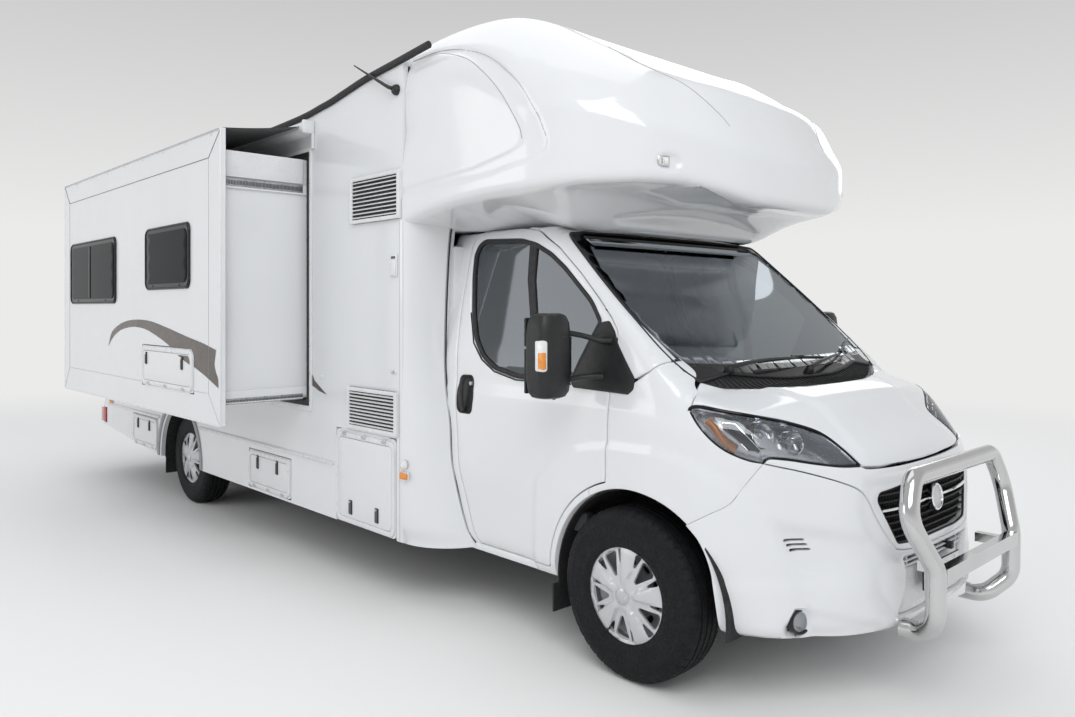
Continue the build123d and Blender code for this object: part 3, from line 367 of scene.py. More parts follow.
# ---------------------------------------------------------------- outlines and fields
def fillet(points, radii, step=0.012):
    """Closed outline through points, each corner rounded by its radius, as dense points."""
    out = []
    count = len(points)
    for i in range(count):
        p = np.array(points[i], float)
        a = np.array(points[i - 1], float) - p
        b = np.array(points[(i + 1) % count], float) - p
        la, lb = np.hypot(*a), np.hypot(*b)
        a, b = a / la, b / lb
        turn = math.acos(max(-1, min(1, float(a @ b))))
        r = radii[i] if hasattr(radii, "__len__") else radii
        if r <= 0 or turn > math.pi - 0.01:
            out.append(p)
            continue
        reach = min(r / math.tan(turn / 2), 0.49 * la, 0.49 * lb)
        r = reach * math.tan(turn / 2)
        centre = p + (a + b) / np.hypot(*(a + b)) * r / math.sin(turn / 2)
        start, end = p + a * reach - centre, p + b * reach - centre
        n = max(2, int(r * (math.pi - turn) / step) + 1)
        t0 = math.atan2(start[1], start[0])
        dt = (math.atan2(end[1], end[0]) - t0 + math.pi) % (2 * math.pi) - math.pi
        for k in range(n + 1):
            t = t0 + dt * k / n
            out.append(centre + r * np.array([math.cos(t), math.sin(t)]))
    return np.array(out)


def palindrome(half):
    return half + half[::-1]


def even(half):
    """Points of the right half, then their mirror images in reverse."""
    return half + [(-q[0], q[1]) for q in half[::-1]]


def spline(points, closed=False, step=0.012):
    """Smooth curve through points (Catmull-Rom), as dense points."""
    p = np.array(points, float)
    n = len(p)
    if closed:
        ext = np.vstack([p[-1], p, p[0], p[1]])
        spans = n
    else:
        ext = np.vstack([2 * p[0] - p[1], p, 2 * p[-1] - p[-2]])
        spans = n - 1
    out = []
    for i in range(spans):
        a, b, c, d = ext[i:i + 4]
        k = max(2, int(np.linalg.norm(c - b) / step) + 1)
        for t in np.arange(k) / k:
            out.append(0.5
                * (2 * b + (c - a) * t + (2 * a - 5 * b + 4 * c - d) * t * t + (3 * b - a - 3 * c + d) * t ** 3))
    if not closed:
        out.append(p[-1])
    return np.array(out)


def polyline(points, closed=True, step=0.012):
    """Straight runs between points, as dense points."""
    p = np.array(points, float)
    out = []
    for i in range(len(p) if closed else len(p) - 1):
        a, b = p[i], p[(i + 1) % len(p)]
        k = max(1, int(np.linalg.norm(b - a) / step + 0.5))
        out += [a + (b - a) * j / k for j in range(k)]
    if not closed:
        out.append(p[-1])
    return np.array(out)


def signed(poly, x, y):
    """Distance from points to a closed outline, negative inside."""
    a = poly
    b = np.roll(poly, -1, axis=0)
    d = b - a
    dd = np.maximum((d * d).sum(1), 1e-12)
    out = np.empty(len(x))
    for s in range(0, len(x), 4000):
        px, py = x[s:s + 4000, None], y[s:s + 4000, None]
        wx, wy = px - a[:, 0], py - a[:, 1]
        t = np.clip((wx * d[:, 0] + wy * d[:, 1]) / dd, 0, 1)
        dist = np.sqrt(((wx - t * d[:, 0]) ** 2 + (wy - t * d[:, 1]) ** 2).min(1))
        cross = (a[:, 1] <= py) != (b[:, 1] <= py)
        denom = np.where(np.abs(d[:, 1]) < 1e-12, 1e-12, d[:, 1])
        hit = cross & (px < a[:, 0] + (py - a[:, 1]) / denom * d[:, 0])
        inside = hit.sum(1) % 2 == 1
        out[s:s + 4000] = np.where(inside, -dist, dist)
    return out


class Flat:
    """Distance to a closed outline, kept on a grid for quick reading."""

    def __init__(self, poly, pad=0.45, step=0.008):
        self.lo, hi = poly.min(0) - pad, poly.max(0) + pad
        self.step = step
        n = ((hi - self.lo) / step).astype(int) + 2
        gx, gy = np.meshgrid(self.lo[0] + np.arange(n[0]) * step, self.lo[1] + np.arange(n[1]) * step, indexing="ij")
        self.n = n
        self.g = signed(poly, gx.ravel(), gy.ravel()).reshape(n)

    def __call__(self, x, y):
        u, v = (x - self.lo[0]) / self.step, (y - self.lo[1]) / self.step
        cu, cv = np.clip(u, 0, self.n[0] - 1.001), np.clip(v, 0, self.n[1] - 1.001)
        i, j = cu.astype(int), cv.astype(int)
        a, b = cu - i, cv - j
        g = self.g
        out = ((g[i, j] * (1 - b) + g[i, j + 1] * b) * (1 - a) + (g[i + 1, j] * (1 - b) + g[i + 1, j + 1] * b) * a)
        return out + np.hypot(u - cu, v - cv) * self.step


def step01(edge0, edge1, v):
    t = np.clip((v - edge0) / (edge1 - edge0), 0, 1)
    return t * t * (3 - 2 * t)


def smax(a, b, k):
    h = np.maximum(k - np.abs(a - b), 0) / k
    return np.maximum(a, b) + h * h * k / 4


# the van cab: side (y, z), plan (x, y) and front (x, z) outlines, in metres from the front axle
CAB_SIDE = Flat(fillet([(1.42, 0.3), (-0.45, 0.315), (-0.86, 0.262), (-0.95, 0.33), (-0.957, 0.6), (-0.905, 0.88),
    (-0.85, 0.957), (-0.52, 1.187), (-0.262, 1.268), (0.524, 1.992), (0.66, 2.05), (1.42, 2.05)],
    [0, 0.06, 0.05, 0.09, 0.25, 0.12, 0.05, 0.5, 0.04, 0.1, 0.12, 0]))
CAB_PLAN = Flat(fillet(even([(-1.027, 1.6), (-1.027, -0.12), (-0.99, -0.39), (-0.84, -0.61), (-0.6, -0.815),
    (-0.3, -0.932)]), palindrome([0, 0.4, 0.3, 0.4, 0.5, 0.7])))
CAB_FRONT = Flat(fillet(even([(-0.94, 0.25), (-1.006, 0.42), (-1.027, 0.76), (-1.019, 1.1), (-0.988, 1.26),
    (-0.858, 1.95), (-0.8, 2.06)]), palindrome([0, 0.15, 0.4, 0.25, 0.15, 0.1, 0.1])))
FLARE = Flat(fillet([(0.6, 0.25), (0.565, 0.8), (0.453, 0.906), (0.283, 0.978), (0.1, 1.013), (-0.135, 1.018),
    (-0.306, 0.989), (-0.455, 0.931), (-0.564, 0.83), (-0.634, 0.727), (-0.69, 0.5), (-0.7, 0.25)],
    [0, .1, .1, .15, .15, .15, .15, .15, .15, .2, .1, 0]))


def cab_field(p, detail=True):
    """Positive outside the cab's outer skin, about the distance to it."""
    x, y, z = -np.abs(p[:, 0]), p[:, 1], p[:, 2]
    low = step01(2.0, 1.25, z) * step01(1.1, 1.25, z)
    bow = 0.085 * (1 - (x / 0.95) ** 2) * low
    crown = 0.03 * np.clip(1 - (x / 0.85) ** 2, -0.5, 1) * step01(1.32, 1.24, z) * step01(0.9, 1.0, z)
    side = CAB_SIDE(y + bow, z - crown + 0.012)
    plan = CAB_PLAN(x, y)
    front = CAB_FRONT(x, z)
    upper = step01(1.15, 1.5, z)
    f = smax(smax(side, plan, 0.1 - 0.06 * upper), front, 0.13 - 0.07 * upper)
    return f - cab_detail(x, y, z) if detail else f


def cab_detail(x, y, z):
    """Pressed forms: wheel flare, waist line and the door's low swage."""
    out = 0.011 * step01(0.012, -0.02, FLARE(y, z)) * step01(-0.62, -0.8, x)
    waist = 1.183 - 0.02 * np.clip(-y / 0.4, 0, 1)
    out += 0.007 * step01(waist + 0.03, waist - 0.01, z) * step01(-0.3, -0.02, y)
    out -= 0.006 * step01(0.74, 0.6, z) * step01(0.55, 0.75, y)
    return out


def trace(field, origin, direction):
    """Where rays first meet the surface field = 0."""
    t = np.zeros(len(origin))
    for _ in range(TRACE_ROUNDS):
        f = field(origin + direction * t[:, None])
        t = np.minimum(t + np.where(f > 0, f * 0.85, f * 0.6), TRACE_FAR)
    return origin + direction * t[:, None]


def gradient(field, p, h=0.002):
    g = np.stack([field(p + np.eye(3)[i] * h) - field(p - np.eye(3)[i] * h) for i in range(3)], 1)
    return g / np.maximum(np.linalg.norm(g, axis=1, keepdims=True), 1e-9)


TRACE_ROUNDS, TRACE_FAR = 34, 3.0

# ways of looking at a surface: a 2-D point gives a ray, and a surface point gives its 2-D point back
RIB_Y, RIB_R = -0.1, 0.95


def straight(axis, start, way):
    """A view along an axis: its rays from start on, and what a surface point keeps."""
    kept = [k for k in range(3) if k != axis]

    def rays(a):
        o, d = np.full((len(a), 3), start), np.zeros((len(a), 3))
        o[:, kept] = a
        d[:, axis] = way
        return o, d
    return rays, lambda p: p[:, kept]


def rays_ribbon(a):
    """Along the flank by distance, and round the nose by angle about an upright axis."""
    s, z = a[:, 0], a[:, 1]
    th = np.maximum(s, 0) / RIB_R
    d = np.stack([np.cos(th), np.sin(th), np.zeros(len(a))], 1)
    c = np.stack([np.zeros(len(a)), RIB_Y - np.minimum(s, 0), z], 1)
    return c - d * 1.5, d


def flat_ribbon(p):
    y = p[:, 1] - RIB_Y
    s = np.where(y >= 0, -y, np.arctan2(-y, -p[:, 0]) * RIB_R)
    return np.stack([s, p[:, 2]], 1)


VIEWS = {"side": straight(0, -1.6, 1.0), "plan": straight(2, 2.2, -1.0), "front": straight(1, -1.6, 1.0),
    "ribbon": (rays_ribbon, flat_ribbon)}

# ---------------------------------------------------------------- overcab moulding's form
# side (y, z), plan (x, y) and front (x, z) outlines
CAP_SIDE = Flat(fillet([(1.55, 1.99), (0.4, 1.99), (-0.3, 1.99), (-0.285, 2.3), (-0.16, 2.687), (0.12, 2.737),
    (0.62, 3.037), (1.0, 3.144), (1.55, 3.018)], [0, 0, 0, 0.25, 0.5, 1.2, 1.2, 0.8, 0]))
CAP_PLAN = Flat(fillet([(-1.184, 1.6), (-1.184, 0.5), (-1.1, 0.2), (-0.871, -0.034), (-0.45, -0.235), (0.0, -0.285),
    (0.45, -0.235), (0.871, -0.034), (1.1, 0.2), (1.184, 0.5), (1.184, 1.6)], [0, 0.7, 0.5, 0.5, 1.2, 1.5, 1.2, 0.5,
    0.5, 0.7, 0]))
CAP_FRONT = Flat(fillet([(-1.6, 1.8), (-1.6, 2.3), (-1.182, 2.897), (-1.022, 3.116), (0.0, 3.031), (1.022, 3.116),
    (1.182, 2.897), (1.6, 2.3), (1.6, 1.8)], [0, 0, 0.3, 0.3, 3.0, 0.3, 0.3, 0, 0]))
# open recess over the windscreen, in plan, and its ceiling
RECESS = Flat(fillet([(-0.64, -0.125), (0.64, -0.125), (0.67, 0.375), (0.6, 0.4), (-0.6, 0.4), (-0.67, 0.375)],
    [0.06, 0.06, 0.05, 0.03, 0.03, 0.05]))
RECESS_Z = 2.168
# height of the lower lip across the nose (by x) and along the flank (by y)
NOSE_LIP = ([0.0, 0.3, 0.39, 0.518, 0.7, 0.884, 1.089, 1.18], [2.082, 2.085, 2.095, 2.125, 2.16, 2.166, 2.16, 2.15])
FLANK_LIP = ([0.2, 0.5, 0.77, 1.0, 1.25, 1.41, 1.6], [2.16, 2.143, 2.14, 2.127, 2.096, 2.062, 2.02])
SWAGE_OUT = Flat(fillet([(1.6, 2.958), (1.168, 2.944), (0.931, 2.909), (0.707, 2.813), (0.505, 2.657), (0.39, 2.489),
    (0.342, 2.362), (0.352, 2.318), (0.453, 2.279), (0.707, 2.247), (1.412, 2.211), (1.6, 2.2)],
    [0, .3, .5, .6, .6, .3, .05, .04, .2, .5, 0, 0], 0.02))
SWAGE_IN = Flat(fillet([(1.6, 2.955), (1.168, 2.937), (0.95, 2.875), (0.82, 2.811), (0.597, 2.623), (0.475, 2.437),
    (0.472, 2.375), (0.543, 2.335), (0.82, 2.29), (1.337, 2.257), (1.6, 2.24)],
    [0, .3, .5, .5, .6, .1, .05, .1, .5, .5, 0], 0.02))


def cap_field(p):
    """Positive outside the overcab moulding, about the distance to it."""
    x, y, z = -np.abs(p[:, 0]), p[:, 1], p[:, 2]
    high = step01(2.2, 2.7, z)
    q = x * x
    side = CAP_SIDE(y - 0.128 * q * high, z - (0.041 * q + 0.05 * q * q) * high)
    plan = CAP_PLAN(x, y)
    top = step01(2.25, 2.6, z)
    f = smax(side, plan, 0.045 + 0.4 * top)
    f = smax(f, CAP_FRONT(x, z), 0.02 + 0.072 * top)
    back = step01(0.0, 0.4, y)
    lip = np.interp(-x, *NOSE_LIP) * (1 - back) + np.interp(y, *FLANK_LIP) * back
    slope = (0.2 + 0.35 * step01(0.9, 0.2, y)) * step01(0.22, 0.55, y)
    f = smax(f, (lip - slope * np.clip(-plan - 0.02, 0, 0.5) - z) * 0.93, 0.055)
    ceiling = RECESS_Z - np.clip((y + 0.05) / 0.45, 0, 1) * (0.063 + 0.13 * q)
    hollow = np.maximum(RECESS(x, y), z - ceiling)
    f = smax(f, -hollow, 0.015)
    flank = step01(-1.02, -1.1, x)
    f = f + 0.01 * flank * step01(0.012, -0.012, SWAGE_OUT(y, z)) - 0.006 * flank * step01(0.01, -0.01,
        SWAGE_IN(y, z))
    lamp = np.sqrt(((x + 0.792) / 1.3) ** 2 + (y + 0.076) ** 2 + ((z - 2.255) * 1.35) ** 2)
    return f + 0.014 * step01(0.06, 0.035, lamp)


def shell_mesh(field, lo, hi, pitch, rounds=3):
    """Quads on the surface field = 0, one vertex for each grid cell that it passes."""
    axes = [np.arange(a, b + pitch * 0.5, pitch) for a, b in zip(lo, hi)]
    grid = np.stack(np.meshgrid(*axes, indexing="ij"), -1)
    shape = grid.shape[:3]
    value = field(grid.reshape(-1, 3)).reshape(shape)
    neg = value < 0
    corners = np.stack([neg[a:shape[0] - 1 + a, b:shape[1] - 1 + b, c:shape[2] - 1 + c] for a in (0, 1) for b in (0,
        1) for c in (0, 1)])
    mixed = corners.any(0) & ~corners.all(0)
    index = -np.ones(mixed.shape, int)
    index[mixed] = np.arange(mixed.sum())
    cells = np.argwhere(mixed)
    p = np.stack([axes[a][cells[:, a]] + pitch / 2 for a in range(3)], 1)
    faces = []
    for axis in range(3):
        b, c = (axis + 1) % 3, (axis + 2) % 3
        lo_ = [slice(None)] * 3
        hi_ = [slice(None)] * 3
        lo_[axis], hi_[axis] = slice(0, -1), slice(1, None)
        change = neg[tuple(lo_)] != neg[tuple(hi_)]
        e = np.argwhere(change)
        ok = (e[:, b] > 0) & (e[:, c] > 0) & (e[:, b] < shape[b] - 1) & (e[:, c] < shape[c] - 1)
        e = e[ok]
        quad = []
        for db, dc in ((-1, -1), (0, -1), (0, 0), (-1, 0)):
            q = e.copy()
            q[:, b] += db
            q[:, c] += dc
            quad.append(index[q[:, 0], q[:, 1], q[:, 2]])
        quad = np.stack(quad, 1)
        out = neg[e[:, 0], e[:, 1], e[:, 2]]
        quad[~out] = quad[~out][:, ::-1]
        faces.append(quad)
    faces = np.concatenate(faces)
    faces = faces[(faces >= 0).all(1)]
    edges = np.concatenate([faces[:, [0, 1]], faces[:, [1, 2]], faces[:, [2, 3]], faces[:, [3, 0]]])
    count = np.bincount(edges.ravel(), minlength=len(p))
    for k in range(rounds):
        for _ in range(3):
            f = field(p)
            p = p - gradient(field, p) * np.clip(f, -pitch, pitch)[:, None]
        if k < rounds - 1:
            s = np.zeros_like(p)
            for a in range(3):
                s[:, a] = np.bincount(edges[:, 0], p[edges[:, 1], a], len(p)) + np.bincount(edges[:, 1],
                    p[edges[:, 0], a], len(p))
            p = p * 0.4 + 0.6 * s / np.maximum(count, 1)[:, None]
    return p, faces

# ---------------------------------------------------------------- skins cut from a surface
def inside(poly, pts):
    return signed(poly, pts[:, 0], pts[:, 1]) < 0


def margin_of(loops, pts):
    """Distance of points inside the first outline and outside the others."""
    out = -signed(loops[0], pts[:, 0], pts[:, 1])
    for hole in loops[1:]:
        out = np.minimum(out, signed(hole, pts[:, 0], pts[:, 1]))
    return out


def loop_edges(start, count):
    return [(start + i, start + (i + 1) % count) for i in range(count)]


def triangles(pts, edges):
    """Delaunay triangles of 2-D points, keeping edges."""
    res = delaunay_2d_cdt([Vector(q) for q in pts], edges, [], 0, 1e-7)
    return np.array([q[:] for q in res[0]]), np.array([f for f in res[2] if len(f) == 3])


def only_used(pts, faces):
    """The points that faces use, and the faces with their new numbers."""
    used = np.unique(faces)
    place = -np.ones(len(pts), int)
    place[used] = np.arange(len(used))
    return pts[used], place[faces]


def rim_edges(faces):
    """Edges that only one face has."""
    sides = dict.fromkeys((f[i], f[(i + 1) % len(f)]) for f in faces for i in range(len(f)))
    return [e for e in sides if (e[1], e[0]) not in sides]


def skin(field, view, outline, holes=(), pitch=0.022, edge=0.011, curl=0.004, depth=0.018, lift=0.0, flange=True):
    """Cuts an outline, less its holes, from the surface field = 0, seen along a view.

    The rim curls in by curl and turns inward by depth. Returns verts and faces."""
    loops = [polyline(outline, True, edge)] + [polyline(h, True, edge) for h in holes]
    lo, hi = loops[0].min(0) - 1e-4, loops[0].max(0) + 1e-4
    gx, gy = np.meshgrid(np.arange(lo[0], hi[0], pitch), np.arange(lo[1], hi[1], pitch))
    gx = gx + (np.arange(gx.shape[0]) % 2)[:, None] * pitch / 2
    grid = np.stack([gx.ravel(), gy.ravel()], 1)
    margin = max(curl * 1.6, pitch * 0.45)
    grid = grid[margin_of(loops, grid) > margin]
    pts, edges = [], []
    for loop in loops:
        edges += loop_edges(len(pts), len(loop))
        pts += [tuple(q) for q in loop]
    extra = []
    if curl:
        for loop in loops:
            t = np.roll(loop, -1, 0) - np.roll(loop, 1, 0)
            nrm = np.stack([-t[:, 1], t[:, 0]], 1)
            nrm /= np.maximum(np.linalg.norm(nrm, axis=1, keepdims=True), 1e-9)
            for frac in (0.35, 1.0):
                for sign in (1, -1):
                    q = loop + nrm * sign * curl * frac
                    extra += [tuple(a) for a, b in zip(q, margin_of(loops, q)) if b > curl * frac * 0.9]
    v2, tri = triangles(pts + extra + [tuple(q) for q in grid], edges)
    mid = v2[tri].mean(1)
    ok = inside(loops[0], mid)
    for h in loops[1:]:
        ok &= ~inside(h, mid)
    v2, tri = only_used(v2, tri[ok])
    p = trace(field, *VIEWS[view][0](v2))
    nrm = gradient(field, p)
    dist = np.maximum(margin_of(loops, v2), 0)
    if curl:
        sink = np.where(dist < curl, curl - np.sqrt(np.maximum(curl ** 2 - (curl - dist) ** 2, 0)), 0)
    else:
        sink = 0 * dist
    p = p + nrm * (lift - sink)[:, None]
    # outward winding
    a, b, c = p[tri[:, 0]], p[tri[:, 1]], p[tri[:, 2]]
    wrong = (np.cross(b - a, c - a) * nrm[tri[:, 0]]).sum(1) < 0
    tri[wrong] = tri[wrong][:, ::-1]
    faces = [tuple(t) for t in tri]
    verts = [tuple(q) for q in p]
    if flange and depth:
        rim = rim_edges(faces)
        new = {}
        for q in (q for e in rim for q in e):
            if q not in new:
                new[q] = len(verts)
                verts.append(tuple(p[q] - nrm[q] * depth))
        faces += [(b, a, new[a], new[b]) for a, b in rim]
    return verts, faces


def on(view, pts):
    """3-D surface points as 2-D points of a view."""
    return VIEWS[view][1](np.array(pts, float))


def skin_piece(name, skins, mat, body="root", replaces=(), mirrored=False):
    """One object from skins."""
    b = Build()
    for verts, faces in skins:
        b.add(verts, faces)
    return b.done(name, [mat], body, replaces, True, 40, mirrored)


SIDES = (("right", False), ("left", True))    # the second is the first one's mirror image

# ---------------------------------------------------------------- overcab moulding's piece
CAP_REAR = 1.424
CAP_TURN_Z = 2.88     # above this height the rear edge turns down


def cap_piece():
    p, f = shell_mesh(cap_field, (-1.26, -0.35, 1.93), (1.26, 1.47, 3.16), 0.014)
    keep = (p[f][:, :, 1] < CAP_REAR + 0.001).any(1) & (p[f][:, :, 2] > 1.996).any(1)
    f = f[keep]
    p[:, 1] = np.minimum(p[:, 1], CAP_REAR)
    p, f = only_used(p, f)
    # the open rear end is turned down inside the body, behind the roof's front edge
    rim = [e for e in rim_edges(f) if (p[list(e), 1] > CAP_REAR - 1e-6).all() and (p[list(e), 2] > CAP_TURN_Z).all()]
    down, new = {}, []
    for e in rim:
        for k in e:
            if k not in down:
                down[k] = len(p) + len(new)
                new.append(p[k] * [0.985, 1, 1] - [0, 0.001, 0.22])
    f = [tuple(q) for q in f] + [(b, a, down[a], down[b]) for a, b in rim]
    piece("overcab_shell", np.vstack([p, new]), f, ["gelcoat"], "root", True, "overcab_cap")


cap_piece()

# ---------------------------------------------------------------- van cab skins
ARCH = (-0.03, 0.36)
ARCH_R = 0.47


def arc(centre, r, a0, a1, n=24):
    return [(centre[0] + r * math.cos(math.radians(a0 + (a1 - a0) * i / n)),
        centre[1] + r * math.sin(math.radians(a0 + (a1 - a0) * i / n))) for i in range(n + 1)]


def grow(poly, by):
    """Closed outline moved outward by a distance."""
    poly = polyline(poly, True, 0.012)
    t = np.roll(poly, -1, 0) - np.roll(poly, 1, 0)
    n = np.stack([t[:, 1], -t[:, 0]], 1)
    n /= np.maximum(np.linalg.norm(n, axis=1, keepdims=True), 1e-9)
    area = 0.5 * np.sum(poly[:, 0] * np.roll(poly[:, 1], -1) - np.roll(poly[:, 0], -1) * poly[:, 1])
    return poly + n * by * (1 if area > 0 else -1)


# seams on the right-hand side, as surface points
LAMP_TOP = [(-0.957, -0.3, 1.19), (-0.947, -0.306, 1.206), (-0.928, -0.345, 1.209), (-0.891, -0.429, 1.197),
    (-0.819, -0.508, 1.18), (-0.69, -0.578, 1.15), (-0.575, -0.632, 1.115), (-0.528, -0.672, 1.086),
    (-0.512, -0.735, 1.04), (-0.5, -0.807, 0.978)]
LAMP_LOW = [(-0.957, -0.3, 1.19), (-0.966, -0.35, 1.135), (-0.959, -0.409, 1.08), (-0.933, -0.466, 1.038),
    (-0.893, -0.534, 1.008), (-0.856, -0.584, 0.997)]
LAMP_IN = [(-0.856, -0.584, 0.997), (-0.842, -0.6, 1.019), (-0.788, -0.648, 1.016), (-0.7, -0.714, 0.999),
    (-0.602, -0.775, 0.984), (-0.5, -0.807, 0.978)]
WING_SEAM = [(-0.856, -0.584, 0.997), (-0.896, -0.528, 0.911), (-0.936, -0.484, 0.836), (-0.972, -0.405, 0.785),
    (-0.99, -0.31, 0.728)]
MASK_SEAM = [(-0.856, -0.584, 0.997), (-0.743, -0.692, 0.964), (-0.625, -0.783, 0.923), (-0.554, -0.824, 0.889),
    (-0.518, -0.842, 0.85), (-0.468, -0.86, 0.76), (-0.392, -0.887, 0.656), (-0.345, -0.9, 0.626),
    (-0.2, -0.912, 0.613), (0.0, -0.915, 0.61)]
BONNET_SIDE = [(-0.947, -0.306, 1.206), (-0.9, -0.292, 1.243), (-0.845, -0.262, 1.272), (-0.8, -0.245, 1.29)]
BONNET_REAR = [(-0.8, -0.245, 1.29), (-0.7, -0.3, 1.275), (-0.59, -0.345, 1.268), (-0.42, -0.405, 1.258),
    (-0.25, -0.44, 1.25), (0.0, -0.455, 1.247)]
BONNET_LEAD = [(-0.5, -0.807, 0.978), (-0.468, -0.82, 0.967), (-0.355, -0.842, 0.961), (-0.18, -0.853, 0.955),
    (0.0, -0.856, 0.953)]
SCREEN_SIDE = [(-0.8, -0.245, 1.29), (-0.838, -0.205, 1.335), (-0.862, -0.135, 1.395), (-0.872, -0.04, 1.475),
    (-0.868, 0.133, 1.626), (-0.852, 0.321, 1.791), (-0.822, 0.505, 1.955), (-0.795, 0.535, 1.985)]
SCREEN_TOP = [(-0.795, 0.535, 1.985), (-0.7, 0.555, 1.995), (-0.4, 0.56, 2.0), (0.0, 0.56, 2.0)]

DOOR_EDGE = fillet([(0.112, 1.1), (0.118, 1.395), (0.095, 1.455), (0.1, 1.505), (0.145, 1.562), (0.237, 1.651),
    (0.374, 1.772), (0.54, 1.901), (0.72, 2.002), (0.9, 2.03), (1.17, 2.03), (1.222, 1.985), (1.238, 1.6),
    (1.203, 1.2), (1.158, 0.76), (1.058, 0.45), (1.018, 0.388), (0.476, 0.388), (0.47, 0.42)],
    [0.0, 0.03, 0.02, 0.03, 0.1, 0.2, 0.2, 0.25, 0.2, 0.1, 0.05, 0.06, 0.4, 0.4, 0.4, 0.06, 0.02, 0.02, 0.0])
DOOR_EDGE = np.vstack([DOOR_EDGE[:-1], arc(ARCH, ARCH_R + 0.036, 6.5, 73.5, 26), [(0.112, 0.87)]])
WINDOW_EDGE = fillet([(0.195, 1.548), (0.272, 1.647), (0.474, 1.809), (0.585, 1.882), (0.707, 1.938), (0.83, 1.969),
    (1.16, 1.985), (1.2, 1.9), (1.19, 1.782), (1.15, 1.591), (1.095, 1.443), (1.015, 1.35), (0.912, 1.292),
    (0.737, 1.258), (0.345, 1.262)], [0.03, 0.3, 0.3, 0.3, 0.3, 0.3, 0.08, 0.08, 0.4, 0.4, 0.2, 0.2, 0.2, 0.3, 0.04])
HANDLE_EDGE = fillet([(1.062, 1.052), (1.186, 1.052), (1.196, 1.15), (1.182, 1.252), (1.072, 1.256), (1.052, 1.15)],
    [0.03, 0.035, 0.2, 0.035, 0.03, 0.2])
WING_EDGE = np.vstack([[(0.2, 1.1), (0.2, 1.232), (0.005, 1.262), (-0.031, 1.29), (-0.104, 1.338), (-0.148, 1.382)],
    spline(SCREEN_SIDE[2::-1])[:, 1:], spline(BONNET_SIDE[::-1])[1:, 1:], spline(LAMP_LOW)[1:, 1:],
    spline(WING_SEAM)[1:, 1:], arc(ARCH, ARCH_R, 127.2, 60, 26)])
CAB_SIDE_EDGE = np.vstack([[(0.0, 1.0), (-0.02, 1.3), (-0.104, 1.342), (-0.144, 1.384)],
    spline(SCREEN_SIDE[3:])[:, 1:], [(0.6, 2.045), (0.72, 2.075), (1.4, 2.075), (1.4, 0.345), (0.445, 0.345),
    (0.441, 0.37)], arc(ARCH, ARCH_R, 2, 76, 30)])

for side, mir in SIDES:
    body = "cab_door_" + side
    skin_piece("door_panel_" + side, [skin(cab_field, "side", DOOR_EDGE, [WINDOW_EDGE, HANDLE_EDGE], depth=0.03)],
        "paint", body, body, mir)
    wing = skin(cab_field, "side", WING_EDGE, [grow(DOOR_EDGE, 0.006)], depth=0.025, pitch=0.018)
    skin_piece("wing_" + side, [wing], "paint", "root", "cab_body", mir)
    frame_side = skin(cab_field, "side", CAB_SIDE_EDGE, [grow(DOOR_EDGE, 0.006), grow(WING_EDGE, 0.004)], depth=0.045)
    skin_piece("cab_side_" + side, [frame_side], "paint", "root", (), mir)

right_half = np.vstack([spline(BONNET_REAR)[::-1], spline(BONNET_SIDE)[::-1][1:], spline(LAMP_TOP[1:])[1:],
    spline(BONNET_LEAD)[1:]])
BONNET_EDGE = np.vstack([right_half[:, :2], (right_half * [-1, 1, 1])[::-1][1:-1, :2]])
BONNET_RIDGE = np.array([(-0.66, -0.15), (-0.6, -0.287), (-0.504, -0.396), (-0.43, -0.545), (-0.402, -0.6),
    (-0.398, -0.65), (-0.435, -0.736), (-0.45, -0.78), (-0.36, -0.806), (-0.18, -0.822), (0.0, -0.828)])
BONNET_RIDGE = np.vstack([spline(BONNET_RIDGE), (spline(BONNET_RIDGE) * [-1, 1])[::-1]])


def bonnet_field(p):
    f = cab_field(p)
    rise = step01(0.01, -0.016, signed(BONNET_RIDGE, p[:, 0], p[:, 1]))
    return f - 0.009 * rise


skin_piece("bonnet_panel", [skin(bonnet_field, "plan", grow(BONNET_EDGE, -0.003), depth=0.035, pitch=0.024)], "paint",
    "bonnet", "bonnet")

# bumper, in the ribbon view right round the nose
SLOT_HOLLOW = fillet([(-0.86, 0.79), (-0.78, 0.765), (-0.62, 0.735), (-0.5, 0.7), (-0.42, 0.58), (-0.62, 0.56),
    (-0.745, 0.585), (-0.812, 0.65), (-0.845, 0.73)], 0.03)
FOG_SCOOP = fillet([(-0.8, 0.315), (-0.828, 0.357), (-0.775, 0.44), (-0.707, 0.424), (-0.598, 0.392), (-0.44, 0.352),
    (-0.43, 0.325), (-0.6, 0.318)], 0.02)
LOWER_HOLE = [(-0.33, 0.598), (-0.318, 0.575), (-0.302, 0.53), (-0.318, 0.45), (-0.365, 0.385), (-0.36, 0.352),
    (0.36, 0.352), (0.365, 0.385), (0.318, 0.45), (0.302, 0.53), (0.318, 0.575), (0.33, 0.598)]


def bumper_field(p):
    x, z = -np.abs(p[:, 0]), p[:, 2]
    f = cab_field(p)
    d = signed(SLOT_HOLLOW, x, z)
    fade = step01(-0.4, -0.7, x)
    f = f + 0.022 * step01(0.012, -0.055, d) * (0.45 + 0.55 * fade)
    d = signed(FOG_SCOOP, x, z)
    f = f + 0.014 * step01(0.006, -0.022, d)
    f = f + 0.02 * step01(0.062, 0.04, np.hypot((x + 0.752) * 1.25, z - 0.378))
    ledge = step01(0.56, 0.5, z) * step01(0.3, 0.36, z)
    f = f - 0.008 * ledge * step01(-0.3, -0.4, x)
    return f


def to_view(view, src, poly, field=cab_field):
    """2-D outline of one view as an outline of another, by way of the surface."""
    o, d = VIEWS[src][0](np.array(poly, float))
    return VIEWS[view][1](trace(field, o, d))


def both_ways(q):
    """A right-hand line of the ribbon view, and its mirror image."""
    m = q.copy()
    m[:, 0] = math.pi * RIB_R - q[:, 0]
    return q, m[::-1]


